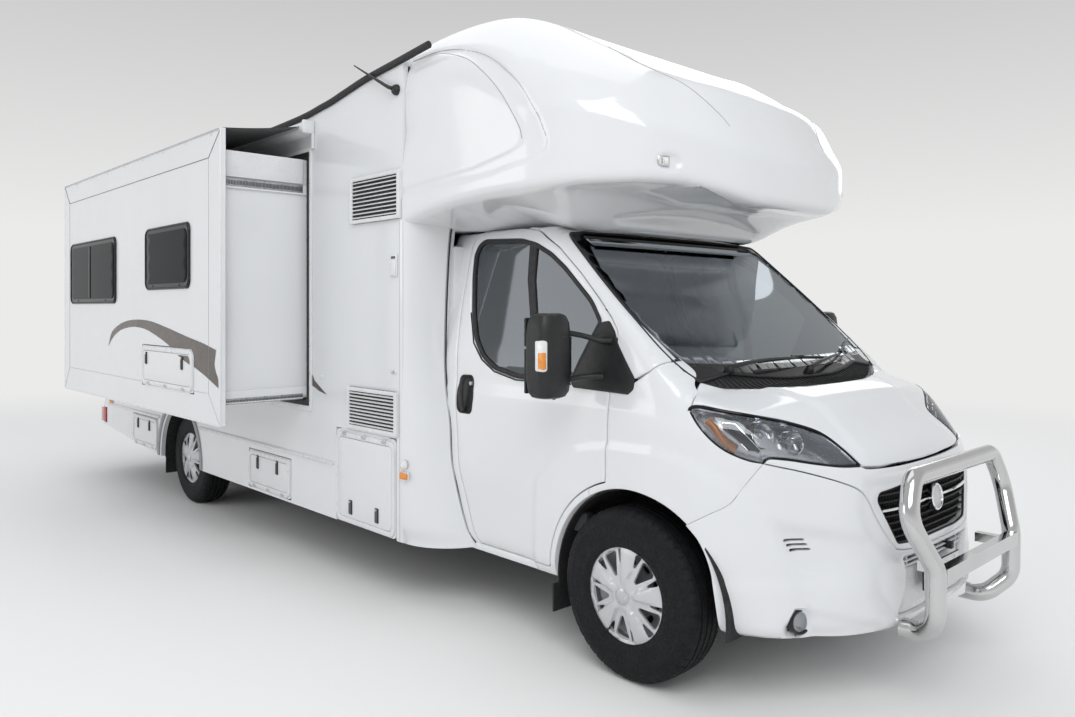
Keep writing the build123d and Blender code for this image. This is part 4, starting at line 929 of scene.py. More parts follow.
arch_front = [(-0.31, 0.728), (-0.362, 0.68), (-0.395, 0.622), (-0.418, 0.55), (-0.43, 0.48), (-0.44, 0.4),
    (-0.447, 0.305)]
a3 = np.array([(-0.985 + 0.3 * max(0, -y - 0.38), y, z) for y, z in spline(arch_front)])
low3 = np.array([(-0.9, -0.5, 0.292), (-0.831, -0.6, 0.283), (-0.72, -0.7, 0.279), (-0.532, -0.82, 0.277),
    (-0.3, -0.89, 0.277), (0.0, -0.9, 0.277)])
q1, m1 = both_ways(on("ribbon", np.vstack([spline(MASK_SEAM)[::-1], spline(WING_SEAM)[1:], a3[1:], low3])))
BUMPER_EDGE = np.vstack([q1[:-1], m1[:-1]])
lower_hole = on("ribbon", [(x, -0.895, z) for x, z in fillet(LOWER_HOLE, 0.02)])
SLOTS = []
for k in range(3):
    z0 = 0.7 - 0.019 * k
    x0 = -0.806 + 0.01 * k
    SLOTS.append(fillet([(x0, z0), (x0 + 0.066, z0), (x0 + 0.07, z0 - 0.009), (x0 + 0.004, z0 - 0.009)], 0.004,
        0.004))
slot_holes = [q for s in SLOTS for q in both_ways(to_view("ribbon", "front", s))]
skin_piece("bumper_skin", [skin(bumper_field, "ribbon", BUMPER_EDGE, [lower_hole] + slot_holes, depth=0.03,
    pitch=0.018)], "paint", "root", "front_bumper")

# nose panel between bonnet, lamps and grille
q2, m2 = both_ways(on("ribbon", np.vstack([spline(BONNET_LEAD)[::-1], spline(LAMP_IN)[::-1][1:],
    spline(MASK_SEAM)[1:]])))
MASK_EDGE = np.vstack([q2[:-1], m2[:-1]])
GRILLE_EDGE = [(-0.478, 0.866), (-0.352, 0.65), (-0.2, 0.64), (0.2, 0.64), (0.352, 0.65), (0.478, 0.866),
    (0.3, 0.882), (-0.3, 0.882)]
grille_2d = fillet(GRILLE_EDGE, [0.03, 0.03, 0.3, 0.3, 0.03, 0.03, 0.3, 0.3])
grille_hole = to_view("ribbon", "front", grille_2d)


def mask_field(p):
    """Nose panel, standing a little proud under the bonnet's lead and hollowed round the grille."""
    z = p[:, 2]
    hollow = step01(0.045, 0.005, signed(grille_2d, p[:, 0], z)) * step01(0.9, 0.8, z)
    return cab_field(p) + 0.01 * hollow - 0.004


skin_piece("nose_panel", [skin(mask_field, "ribbon", grow(MASK_EDGE, -0.0045), [grille_hole], depth=0.03,
    pitch=0.018)], "paint", "root")

# ---------------------------------------------------------------- front of the cab: glass, lamps, grille
def lay(view, pts2, field=cab_field, lift=0.0):
    """Points of a view laid on a surface."""
    o, d = VIEWS[view][0](np.array(pts2, float))
    p = trace(field, o, d)
    return p + gradient(field, p) * lift


def raised(pts3, lift, field=cab_field):
    """Surface points moved along the surface's normal; lift is one number or one each."""
    p = np.array(pts3, float)
    return p + gradient(field, p) * np.reshape(lift, (-1, 1))


COWL_TOP = [(-0.8, -0.24, 1.292), (-0.59, -0.247, 1.316), (-0.412, -0.292, 1.296), (-0.214, -0.328, 1.282),
    (0.0, -0.336, 1.28)]
SCREEN_2D = np.array([(q[0], q[2]) for q in spline(SCREEN_SIDE)] + [(q[0], q[2]) for q in SCREEN_TOP[1:]])
SCREEN_2D = np.vstack([SCREEN_2D, (SCREEN_2D * [-1, 1])[::-1][1:], [(-q[0], q[2]) for q in COWL_TOP[1:]],
    [(q[0], q[2]) for q in COWL_TOP[::-1][1:-1]]])
GLASS_2D = grow(SCREEN_2D, -0.01)
CLEAR_2D = fillet([(-0.79, 1.372), (-0.836, 1.43), (-0.842, 1.58), (-0.822, 1.77), (-0.775, 1.925), (-0.72, 1.955),
    (0.72, 1.955), (0.775, 1.925), (0.822, 1.77), (0.842, 1.58), (0.836, 1.43), (0.79, 1.372), (0.55, 1.358),
    (0, 1.345), (-0.55, 1.358)], [0.05, 0.05, 0.3, 0.3, 0.05, 0.05, 0.05, 0.05, 0.3, 0.3, 0.05, 0.05, 0.3, 0.3, 0.3])
b = Build()
b.cut(0, cab_field, "front", CLEAR_2D, lift=-0.003, flange=False, curl=0, pitch=0.03)
b.cut(1, cab_field, "front", GLASS_2D, [CLEAR_2D], lift=-0.003, depth=0.006, curl=0, pitch=0.03)
b.sweep(lay("front", grow(SCREEN_2D, -0.005), lift=-0.003), 0.0065, mat=2, sides=8, closed=True)
b.done("windscreen_pane", ["screen_glass", "plastic_gloss", "rubber"], replaces="windscreen")

# cowl under the windscreen, its ribs, and the two wipers
low = spline(BONNET_REAR)[:, :2] + [0, 0.009]
half = spline(COWL_TOP)[:, :2] + [0, 0.014]
COWL_2D = np.vstack([low, (low * [-1, 1])[::-1][1:], (half * [-1, 1])[1:], half[::-1][1:-1]])
b = Build()
b.cut(0, cab_field, "plan", COWL_2D, lift=-0.01, depth=0.02, curl=0.004, pitch=0.02)
for i in range(-23, 24):
    x = i * 0.032
    y0 = np.interp(-abs(x), low[:, 0], low[:, 1]) + 0.012
    y1 = np.interp(-abs(x), half[:, 0], half[:, 1]) - 0.01
    if y1 - y0 > 0.02:
        b.sweep(lay("plan", [(x, y0 + (y1 - y0) * k / 5) for k in range(6)], lift=-0.009), 0.0035, sides=6)
b.done("cowl_grid", ["plastic_black"], replaces="scuttle")


def wiper(name, pivot, joint, blade):
    b = Build()
    base = raised([pivot], -0.004)[0]
    n = gradient(cab_field, np.array([pivot]))[0]
    b.turn([(0.0, 0.0), (0.0, 0.022), (0.02, 0.02), (0.03, 0.015), (0.034, 0.009), (0.035, 0.0)], base, n, 20)
    arm = spline([pivot, np.array(pivot) * 0.7 + np.array(joint) * 0.3, np.array(pivot) * 0.3 + np.array(joint) * 0.7,
        joint])
    s = np.linspace(0, 1, len(arm))
    arm = raised(arm, 0.026 + 0.022 * np.sin(math.pi * s) ** 0.7 - 0.006 * s)
    b.sweep(arm, list(0.012 - 0.006 * s), sides=10, flat=0.6, up=n)
    line = spline(blade)
    s = np.linspace(-1, 1, len(line))
    b.sweep(raised(line, 0.007), 0.0035, sides=6, mat=1)
    b.sweep(raised(line, 0.015), list(0.004 + 0.004 * (1 - s ** 2)), sides=8)
    b.sweep(raised(line[len(line) // 2 - 4:len(line) // 2 + 5], 0.022), 0.009, sides=8)
    b.done(name, ["plastic_black", "rubber"])


wiper("wiper_right", (-0.573, -0.236, 1.328), (-0.02, -0.245, 1.347), [(-0.341, -0.232, 1.349),
    (-0.187, -0.234, 1.353), (0.039, -0.236, 1.354), (0.306, -0.238, 1.345)])
wiper("wiper_left", (0.01, -0.301, 1.302), (0.42, -0.225, 1.347), [(0.222, -0.27, 1.315), (0.348, -0.245, 1.33),
    (0.476, -0.211, 1.358), (0.657, -0.147, 1.398), (0.79, -0.098, 1.426)])

# headlamps
lamp3 = np.vstack([spline(LAMP_TOP), spline(LAMP_IN)[::-1][1:], spline(LAMP_LOW)[::-1][1:-1]])
LAMP_2D = on("ribbon", lamp3)
MODULE = [(-0.924, -0.428, 1.16), (-0.887, -0.48, 1.157), (-0.853, -0.585, 1.038), (-0.888, -0.537, 1.046)]
MODULE_2D = fillet(on("ribbon", MODULE), 0.006, 0.004)
lens = Build()
lens.cut(0, cab_field, "ribbon", grow(LAMP_2D, -0.006), lift=-0.003, depth=0.012, curl=0.006, pitch=0.018)
lens.mirror()
lens.done("headlamp_lenses", ["lens"], replaces="headlamps")
b = Build()
b.cut(0, cab_field, "ribbon", grow(LAMP_2D, -0.003), lift=-0.06, depth=-0.054, curl=0, pitch=0.02)
b.cut(1, cab_field, "ribbon", MODULE_2D, lift=-0.022, depth=0.035, curl=0.003, pitch=0.02, edge=0.006)
b.sweep(lay("ribbon", MODULE_2D[::2], lift=-0.022), 0.0045, mat=2, sides=8, closed=True)
b.sweep(raised(spline([(-0.945, -0.378, 1.16), (-0.943, -0.41, 1.135), (-0.936, -0.451, 1.082),
    (-0.913, -0.497, 1.043)]), -0.022), 0.015, mat=3, sides=12)
b.sweep(raised(spline(LAMP_TOP), -0.006), 0.0075, mat=1, sides=8)
b.sweep(raised(spline(LAMP_IN), -0.007), 0.005, mat=1, sides=8)
b.sweep(raised(spline(LAMP_LOW), -0.007), 0.005, mat=1, sides=8)
bowl = [(-0.05, 0.0), (-0.049, 0.012), (-0.04, 0.03), (-0.02, 0.044), (0.0, 0.05), (0.002, 0.054), (-0.004, 0.056),
    (-0.05, 0.056)]
out = (-0.25, -0.92, 0.16)
w = Vector(out).normalized()
u = w.orthogonal().normalized()
q = w.cross(u)
for centre, r in (((-0.795, -0.545, 1.098), 1.0), ((-0.69, -0.625, 1.068), 0.88)):
    b.turn([(a, rr * r) for a, rr in bowl], centre, out, 40, 2)
    b.turn([(-0.048, 0.0), (-0.048, 0.012), (-0.02, 0.012), (-0.012, 0.01), (-0.008, 0.004), (-0.0075, 0.0)], centre,
        out, 20, 4)
    for k in range(10):
        t = 2 * math.pi * k / 10
        ray_ = u * math.cos(t) + q * math.sin(t)
        b.sweep([Vector(centre) + w * a + ray_ * (rr * r) for a, rr in ((-0.045, 0.018), (-0.036, 0.031),
            (-0.019, 0.0435), (-0.002, 0.0495))], 0.0012, 2, 5)
b.mirror()
b.done("headlamp_insides", ["lamp_bezel", "plastic_gloss", "chrome", "lamp_amber", "silver"])

# grille: bars along the nose, fine uprights, back plate, bright strip and the blank disc
b = Build()
GRILLE_ROWS = [0.853, 0.823, 0.793, 0.763, 0.733, 0.703, 0.673]
grid_x = np.linspace(-0.47, 0.47, 41)
NOSE_Y = lay("front", [(x, 0.76) for x in grid_x])[:, 1]


def nose(x):
    """The nose's y at the grille's height."""
    return np.interp(x, grid_x, NOSE_Y)


for z in GRILLE_ROWS:
    half = np.interp(z, [0.645, 0.866], [0.36, 0.474])
    xs = np.linspace(-half, half, 33)
    ys = nose(xs)
    b.sweep([(x, y + 0.024, z) for x, y in zip(xs, ys)], 0.012, 0, 8, flat=0.42)
for x in np.arange(-0.45, 0.451, 0.018):
    low = np.interp(abs(x), [0.352, 0.478], [0.65, 0.866]) if abs(x) > 0.352 else 0.646
    if low < 0.85:
        y = nose(x)
        b.box(x - 0.0017, x + 0.0017, y + 0.028, y + 0.045, low, 0.866, 0.0005, 0)
b.cut(1, cab_field, "front", grow(grille_2d, 0.012), lift=-0.055, depth=0.01, curl=0, pitch=0.04)
xs = np.linspace(-0.43, 0.43, 33)
b.sweep([(x, y + 0.012, 0.792) for x, y in zip(xs, nose(xs))], 0.0075, 2, 8, flat=0.9)
b.sweep(lay("front", grow(grille_2d, -0.003)[::2], lift=-0.012), 0.005, 1, 6, closed=True)
disc_y = nose(0.0)
b.turn([(-0.04, 0.05), (0.006, 0.0575), (0.013, 0.0575), (0.016, 0.054), (0.016, 0.049), (0.012, 0.047)],
    (0, disc_y + 0.006, 0.792), (0, -1, 0.1), 48, 2)
b.turn([(0.008, 0.048), (0.0125, 0.047), (0.016, 0.036), (0.018, 0.018), (0.0185, 0.0)], (0, disc_y + 0.006, 0.792),
    (0, -1, 0.1), 48, 3)
b.done("grille_bars", ["plastic_black", "liner", "chrome", "alu"], replaces="grille")

# lower opening: dark back, white ribs, plate carrier and the panel under it
b = Build()
LOW_Y = lay("front", [(0, 0.5)])[0][1]
b.cut(1, cab_field, "front", grow(fillet(LOWER_HOLE, 0.02), 0.015), lift=-0.075, depth=0.02, curl=0, pitch=0.05)
for z in (0.586, 0.566, 0.546):
    half = 0.318 - 0.25 * (0.598 - z)
    xs = np.linspace(-half, half, 17)
    b.sweep([(x, nose(x) + 0.012, z) for x in xs], 0.01, 0, 8, flat=0.35)
for x in (-0.26, -0.13, 0.0, 0.13, 0.26):
    y = nose(x)
    b.box(x - 0.004, x + 0.004, y + 0.01, y + 0.05, 0.535, 0.6, 0.0015, 0)
panel = fillet([(-0.3, 0.532), (0.3, 0.532), (0.305, 0.46), (0.345, 0.385), (0.335, 0.362), (-0.335, 0.362),
    (-0.345, 0.385), (-0.305, 0.46)], 0.015)
b.cut(0, lambda p: cab_field(p) + 0.02 * step01(0.36, 0.5, p[:, 2]), "front", panel, lift=-0.012, depth=0.03,
    curl=0.006, pitch=0.03)
b.done("lower_insert", ["trim_white", "liner"])
b = Build()
b.box(-0.19, 0.19, LOW_Y - 0.012, LOW_Y - 0.006, 0.432, 0.532, 0.003, 0)
b.box(-0.186, 0.186, LOW_Y - 0.0135, LOW_Y - 0.012, 0.436, 0.528, 0.0007, 1)
for x in (-0.13, 0.13):
    b.turn([(0, 0.007), (0.002, 0.007), (0.0035, 0.005), (0.004, 0)], (x, LOW_Y - 0.0135, 0.515), (0, -1, 0), 16, 2)
    b.box(x - 0.014, x + 0.014, LOW_Y - 0.008, LOW_Y + 0.03, 0.545, 0.575, 0.002, 3)
b.done("number_plate_front", ["plastic_black", "plate", "alu", "plastic_black"])

# slots beside the lower opening, and the fog lamps
b = Build()
b.cut(0, cab_field, "front", grow(fillet([(-0.82, 0.71), (-0.72, 0.71), (-0.71, 0.645), (-0.79, 0.645)], 0.01), 0.01),
    lift=-0.055, depth=0.01, curl=0, pitch=0.04)
fog = np.array((-0.744, -0.695, 0.377))
n = gradient(cab_field, fog[None])[0] * 0.6 + np.array((0, -0.4, 0))
b.turn([(-0.045, 0.052), (-0.016, 0.052), (-0.01, 0.049), (-0.012, 0.042), (-0.02, 0.04)], fog, n, 36, 1)
b.turn([(-0.045, 0.006), (-0.04, 0.022), (-0.02, 0.039), (-0.018, 0.04)][::-1], fog, n, 36, 2)
b.turn([(-0.02, 0.041), (-0.014, 0.037), (-0.01, 0.02), (-0.009, 0.0)], fog, n, 36, 3)
b.mirror()
b.done("fog_lamps", ["liner", "plastic_black", "chrome", "lens"])

# ---------------------------------------------------------------- overcab: grey lines, partly painted shade, and clearance lamps
# the two lines along the flank's swages are painted shade at their upper edges; the line on the forehead is the joint
# of its insert
b = Build()
for line in ([(0, 1.42, 2.952), (0, 1.168, 2.946), (0, 0.955, 2.905), (0, 0.72, 2.812), (0, 0.52, 2.657),
        (0, 0.405, 2.5), (0, 0.349, 2.38)], [(0, 1.42, 2.948), (0, 1.168, 2.932), (0, 0.97, 2.875), (0, 0.815, 2.795),
        (0, 0.625, 2.63), (0, 0.5, 2.455), (0, 0.478, 2.385)]):
    path = spline([(0.0, y, z) for _, y, z in line])
    b.sweep(lay("side", np.array(path)[:, 1:], cap_field, 0.0002), 0.0017, sides=6)
path = spline([(-0.7, 0.0, 2.88), (-0.664, 0.0, 2.74), (-0.6, 0.0, 2.662), (-0.505, 0.0, 2.562), (-0.455, 0.0, 2.5),
    (-0.435, 0.0, 2.45)])
b.sweep(lay("front", np.array(path)[:, [0, 2]], cap_field, 0.0002), 0.0017, sides=6)
b.mirror()
b.done("overcab_lines", ["grey_line"])

b = Build()
spot = lay("front", [(-0.806, 2.257)], cap_field)[0]
out = Vector(gradient(cap_field, spot[None])[0] * 0.4 + np.array((-0.32, -0.62, 0.0))).normalized()
along = Vector((0, 0, 1)).cross(out).normalized()
seat = Matrix.Translation(Vector(spot)) @ Matrix([along, out, Vector((0, 0, 1))]).transposed().to_4x4()
b.box(-0.03, 0.03, -0.02, 0.012, -0.024, 0.024, 0.007, 0, seat)
b.box(-0.022, 0.022, 0.004, 0.017, -0.017, 0.017, 0.004, 1, seat)
for k in range(4):
    b.box(-0.018 + 0.0105 * k, -0.014 + 0.0105 * k, 0.016, 0.0185, -0.014, 0.014, 0.001, 1, seat)
b.mirror()
b.done("clearance_lamps", ["lamp_bezel", "lamp_white"])

# ---------------------------------------------------------------- cab doors: windows, handles, mirrors
DIVIDER = [(0.765, 1.958), (0.706, 1.952), (0.69, 1.75), (0.636, 1.56), (0.622, 1.235), (0.672, 1.235), (0.684, 1.56),
    (0.742, 1.75)]
SAIL = [(0.089, 1.458), (-0.03, 1.305), (-0.025, 1.257), (0.005, 1.233), (0.336, 1.241), (0.352, 1.262),
    (0.196, 1.546), (0.15, 1.552), (0.11, 1.505)]
HOUSING_AT = (-1.205, 0.262)
MIRROR_ROWS = [(1.215, 0.55, 0.5), (1.222, 0.78, 0.72), (1.245, 0.93, 0.9), (1.3, 1.0, 1.0), (1.4, 1.0, 1.0),
    (1.5, 0.98, 1.0), (1.548, 0.93, 0.92), (1.576, 0.78, 0.74), (1.585, 0.55, 0.5)]


def ring(cx, cy, hx, hy, z, power=4.0, n=40, front=1.0):
    """Rounded section of the mirror's housing; its front (-y) side bulges by front."""
    out = []
    for k in range(n):
        t = 2 * math.pi * k / n
        c, s = math.cos(t), math.sin(t)
        x = hx * abs(c) ** (2 / power) * (1 if c >= 0 else -1)
        y = hy * abs(s) ** (2 / power) * (1 if s >= 0 else -1)
        if y < 0:
            y *= front * (1 - 0.25 * (x / hx) ** 2)
        out.append((cx + x, cy + y, z))
    return out


def loft(b, rings, mat=0):
    """Closed body through rings of points."""
    n = len(rings), len(rings[0])
    return b.add([q for r in rings for q in r], quads(*n, False, True) + end_faces(*n), mat)


for side, mir in SIDES:
    body = "cab_door_" + side
    rim_in = grow(WINDOW_EDGE, -0.024)
    b = Build()
    b.cut(0, cab_field, "side", grow(WINDOW_EDGE, -0.001), [rim_in], lift=-0.001, depth=0.018, curl=0.004, pitch=0.02)
    post = fillet(DIVIDER, 0.008)
    b.cut(0, cab_field, "side", post, lift=-0.0025, depth=0.02, curl=0.003, pitch=0.02)
    b.sweep(lay("side", polyline([(1.15, 1.583), (1.09, 1.425), (1.008, 1.34), (0.905, 1.285), (0.737, 1.252),
        (0.352, 1.256)], False, 0.02), lift=0.001), 0.0045, 0, 6)
    b.done("door_window_seal_" + side, ["rubber"], body, mirrored=mir)
    b = Build()
    b.cut(0, cab_field, "side", grow(WINDOW_EDGE, -0.02), [grow(post, -0.004)], lift=-0.011, depth=0.004, curl=0,
        pitch=0.03)
    b.done("door_glazing_" + side, ["side_glass"], body, "cab_door_glass_" + side, mirrored=mir)
    # inner trim of the door, seen when it opens
    trim = grow(DOOR_EDGE, -0.012)
    v, f = skin(lambda p: cab_field(p) + 0.02 * step01(0.5, 0.9, p[:, 2]), "side", trim, [grow(WINDOW_EDGE, 0.004)],
        lift=-0.05, flange=False, curl=0, pitch=0.04)
    b = Build()
    b.add(v, [q[::-1] for q in f], 0)
    b.box(-0.93, -0.885, 0.42, 1.02, 1.02, 1.06, 0.012, 1)
    b.box(-0.925, -0.865, 0.3, 1.0, 0.56, 0.66, 0.015, 1)
    b.done("door_trim_" + side, ["inside", "dash"], body, mirrored=mir)

    # handle: dark cup with the grip across it
    b = Build()
    b.cut(0, lambda p: cab_field(p) + 0.016 * step01(0.0, -0.022, signed(HANDLE_EDGE, p[:, 1], p[:, 2])), "side",
        grow(HANDLE_EDGE, -0.001), lift=0.0, depth=0.02, curl=0.002, pitch=0.012)
    hx = lay("side", [(1.1, 1.16)])[0][0]
    hc = HANDLE_EDGE.mean(0)
    grip = [(hx - 0.002 - 0.016 * math.sin(math.pi * k / 12) ** 0.6, hc[0] + 0.012,
        hc[1] - 0.082 + 0.164 * k / 12) for k in range(13)]
    b.sweep(grip, 0.016, 0, 12, flat=0.55, up=(1, 0, 0))
    lock = lay("side", [(hc[0] - 0.03, hc[1] + 0.058)])[0]
    b.turn([(-0.02, 0.011), (0.004, 0.011), (0.006, 0.009), (0.0065, 0.0)], lock + np.array((0.006, 0, 0)),
        (-1, 0, 0), 20, 1)
    b.done("door_handle_" + side, ["plastic_black", "silver"], body, mirrored=mir)

    # mirror: base, two arms, housing in three parts, indicator and glass
    b = Build()
    base = fillet(SAIL, [0.03, 0.02, 0.02, 0.015, 0.01, 0.01, 0.01, 0.02, 0.03])
    v, f = skin(cab_field, "side", base, lift=0.004, depth=0.022, curl=0.004, pitch=0.02)
    ahead = [any(v[i][1] < 0.106 for i in q) for q in f]
    b.add(v, [q for q, a in zip(f, ahead) if not a], 0)
    fixed = Build()
    fixed.add(v, [q for q, a in zip(f, ahead) if a], 0)
    fixed.done("mirror_sail_" + side, ["plastic_black"], "root", mirrored=mir)
    for (y0, z0), (x1, y1, z1), r in (((0.15, 1.462), (-1.15, 0.268, 1.505), 0.021),
            ((0.185, 1.3), (-1.15, 0.262, 1.285), 0.024)):
        x0 = lay("side", [(y0, z0)])[0][0]
        arm = spline([(x0 + 0.01, y0 - 0.01, z0), (x0 - 0.035, y0 + 0.012, z0 + 0.002),
            (0.5 * (x0 + x1), y0 * 0.4 + y1 * 0.6, 0.5 * (z0 + z1) + 0.004), (x1, y1, z1)], False, 0.01)
        s = np.linspace(0, 1, len(arm))
        b.sweep(arm, list(r * (1.25 - 0.45 * np.minimum(1, s * 3))), 0, 14, flat=0.72)
    cx, cy = HOUSING_AT
    shell = [ring(cx, cy, 0.095 * a, 0.068 * c, z, 4.5, 44, 1.12) for z, a, c in MIRROR_ROWS]
    loft(b, shell, 0)
    b.box(cx - 0.082, cx + 0.082, cy + 0.06, cy + 0.074, 1.235, 1.43, 0.012, 0)
    b.box(cx - 0.082, cx + 0.082, cy + 0.06, cy + 0.074, 1.44, 1.566, 0.012, 0)
    # middle cap, a separate smooth panel on the front, with a groove above and below it
    cap = []
    for k in range(9):
        z = 1.318 + 0.165 * k / 8
        cap.append([(x, y - 0.0035, z) if y < cy else (x, y, z) for x, y, _ in ring(cx + 0.004, cy, 0.092, 0.068, z,
            4.5, 44, 1.12)])
    loft(b, cap, 1)
    b.box(cx - 0.0975, cx - 0.06, cy - 0.062, cy - 0.01, 1.335, 1.47, 0.01, 2)
    b.box(cx - 0.0985, cx - 0.075, cy - 0.064, cy - 0.03, 1.345, 1.42, 0.006, 3)
    b.turn([(0, 0.012), (0.012, 0.01), (0.016, 0.006), (0.0165, 0)], (cx + 0.03, cy, 1.222), (0, 0, -1), 16, 0)
    b.box(cx - 0.076, cx + 0.076, cy + 0.0735, cy + 0.0755, 1.243, 1.423, 0.0009, 4)
    b.box(cx - 0.076, cx + 0.076, cy + 0.0735, cy + 0.0755, 1.448, 1.56, 0.0009, 4)
    b.done("mirror_assembly_" + side, ["plastic_black", "plastic_black", "lamp_white", "lamp_amber", "mirror"], body,
        "door_mirror_" + side, mirrored=mir)

# inside of the cab shell: floor, bulkhead, sills, roof lining
b = Build()
b.box(-0.6, 0.6, -0.06, 0.52, 0.392, 0.425, 0.008, 0)
b.box(-0.9, 0.9, 0.5, 1.42, 0.392, 0.425, 0.008, 0)
b.box(-0.58, 0.58, -0.1, -0.06, 0.4, 1.2, 0.008, 0)
for s in (-1, 1):
    b.box(s * 0.975, s * 0.86, 0.5, 1.4, 0.345, 0.384, 0.01, 1)
    b.box(s * 0.93, s * 0.74, 1.3, 1.415, 0.42, 1.95, 0.02, 1)
b.cut(1, cab_field, "plan", [(-0.8, 0.56), (0.8, 0.56), (0.8, 1.42), (-0.8, 1.42)], lift=-0.004, depth=0.02, curl=0,
    pitch=0.05)
v, f = skin(cab_field, "plan", [(-0.78, 0.6), (0.78, 0.6), (0.78, 1.42), (-0.78, 1.42)], lift=-0.03, flange=False,
    curl=0, pitch=0.06)
b.add(v, [q[::-1] for q in f], 0)
b.done("cab_lining", ["inside", "paint"])

# ---------------------------------------------------------------- wheels
TYRE_R, TYRE_HALF = 0.372, 0.1125
WHEELBASE = 4.64
TYRE_PROFILE = [(-0.1, 0.203), (-0.107, 0.215), (-0.1105, 0.232), (-0.1112, 0.236), (-0.1105, 0.24), (-0.112, 0.262),
    (-0.1122, 0.285), (-0.1105, 0.308), (-0.111, 0.312), (-0.1095, 0.316), (-0.104, 0.336), (-0.0995, 0.346),
    (-0.094, 0.3545), (-0.088, 0.361), (-0.08, 0.366), (-0.07, 0.369), (-0.06, 0.37), (-0.059, 0.362),
    (-0.051, 0.362), (-0.05, 0.3708), (-0.036, 0.3714), (-0.022, 0.3718), (-0.021, 0.363), (-0.013, 0.363),
    (-0.012, 0.3719), (0.0, 0.372)]
TYRE_PROFILE = TYRE_PROFILE + [(-a, r) for a, r in TYRE_PROFILE[::-1][1:]]


def tyre_mesh(cx, cy, cz, steps=288):
    """Tyre with ring grooves, shoulder sipes and fluted sidewall edge."""
    prof = np.array(TYRE_PROFILE)
    n = len(prof)
    v = np.empty((steps, n, 3))
    for i in range(steps):
        t = 2 * math.pi * i / steps
        r = prof[:, 1].copy()
        a = prof[:, 0]
        k = i % 6
        if k == 0:
            r -= 0.0055 * (np.abs(a) > 0.066) * (np.abs(a) < 0.0965)
            r -= 0.003 * (np.abs(a) > 0.03) * (np.abs(a) < 0.049)
        if k == 3:
            r -= 0.003 * (np.abs(a) < 0.0105)
        if k in (1, 2):
            r += 0.0012 * (np.abs(a) > 0.1035) * (r > 0.318)
        v[i, :, 0] = cx + a
        v[i, :, 1] = cy + r * math.cos(t)
        v[i, :, 2] = np.maximum(cz + r * math.sin(t), 0.0008)
    return v.reshape(-1, 3), quads(steps, n, True, turned=True)


def polar(points, turn):
    """(radius, degrees) points as (y, z), turned."""
    return [(r * math.cos(math.radians(a + turn)), r * math.sin(math.radians(a + turn))) for r, a in points]


def circle(r, n):
    return np.array([(r * math.cos(2 * math.pi * k / n), r * math.sin(2 * math.pi * k / n)) for k in range(n)])


COVER_HOLES = []
for k in range(5):
    turn = 72 * k + 96
    COVER_HOLES.append(fillet(polar([(0.088, 31.5), (0.088, 40.5), (0.13, 45.0), (0.18, 48.0), (0.191, 46.0),
        (0.1955, 36), (0.191, 26.0), (0.18, 24.0), (0.13, 27.0)], turn), 0.01, 0.008))
    COVER_HOLES.append(fillet(polar([(0.118, 16.5), (0.196, 20.2), (0.198, 12.6)][::-1], turn), 0.004, 0.006))
    COVER_HOLES.append(fillet(polar([(0.118, 55.5), (0.198, 59.4), (0.196, 51.8)][::-1], turn), 0.004, 0.006))


def cover_field(p):
    """Five broad crowned spokes with a pair of thin ones between them; y, z from the hub."""
    y, z = p[:, 1], p[:, 2]
    r = np.hypot(y, z)
    a = np.degrees(np.arctan2(z, y)) - 96
    sector = np.abs((a + 36) % 72 - 36)
    out = 0.026 * (1 - (r / 0.214) ** 1.6)
    broad = step01(15.5, 12.0, sector) * step01(0.04, 0.075, r) * step01(0.206, 0.192, r)
    out = out + 0.0075 * broad * (1 - 0.35 * (sector / 16) ** 2)
    out = out - 0.006 * step01(0.05, 0.075, r) * step01(12.0, 15.5, sector) * step01(0.204, 0.197, r)
    out = out + 0.003 * step01(0.199, 0.205, r)
    return -p[:, 0] - out


cv, cf = skin(cover_field, "side", circle(0.214, 96), COVER_HOLES, pitch=0.01, edge=0.006, curl=0.0018, depth=0.01)
STEEL_HOLES = []
for k in range(10):
    t = math.radians(36 * k + 12)
    c = np.array((0.128 * math.cos(t), 0.128 * math.sin(t)))
    u, w = np.array((math.cos(t), math.sin(t))), np.array((-math.sin(t), math.cos(t)))
    STEEL_HOLES.append(np.array([c + u * 0.014 * math.cos(q) + w * 0.022 * math.sin(q) for q in np.arange(24) * 2
        * math.pi / 24]))
sv, sf = skin(lambda p: -p[:, 0] - 0.016 * np.cos(np.clip(np.hypot(p[:, 1], p[:, 2]) / 0.19, 0, 1) * 5.2), "side",
    circle(0.19, 72), STEEL_HOLES, pitch=0.016, edge=0.008, curl=0.002, depth=0.008)

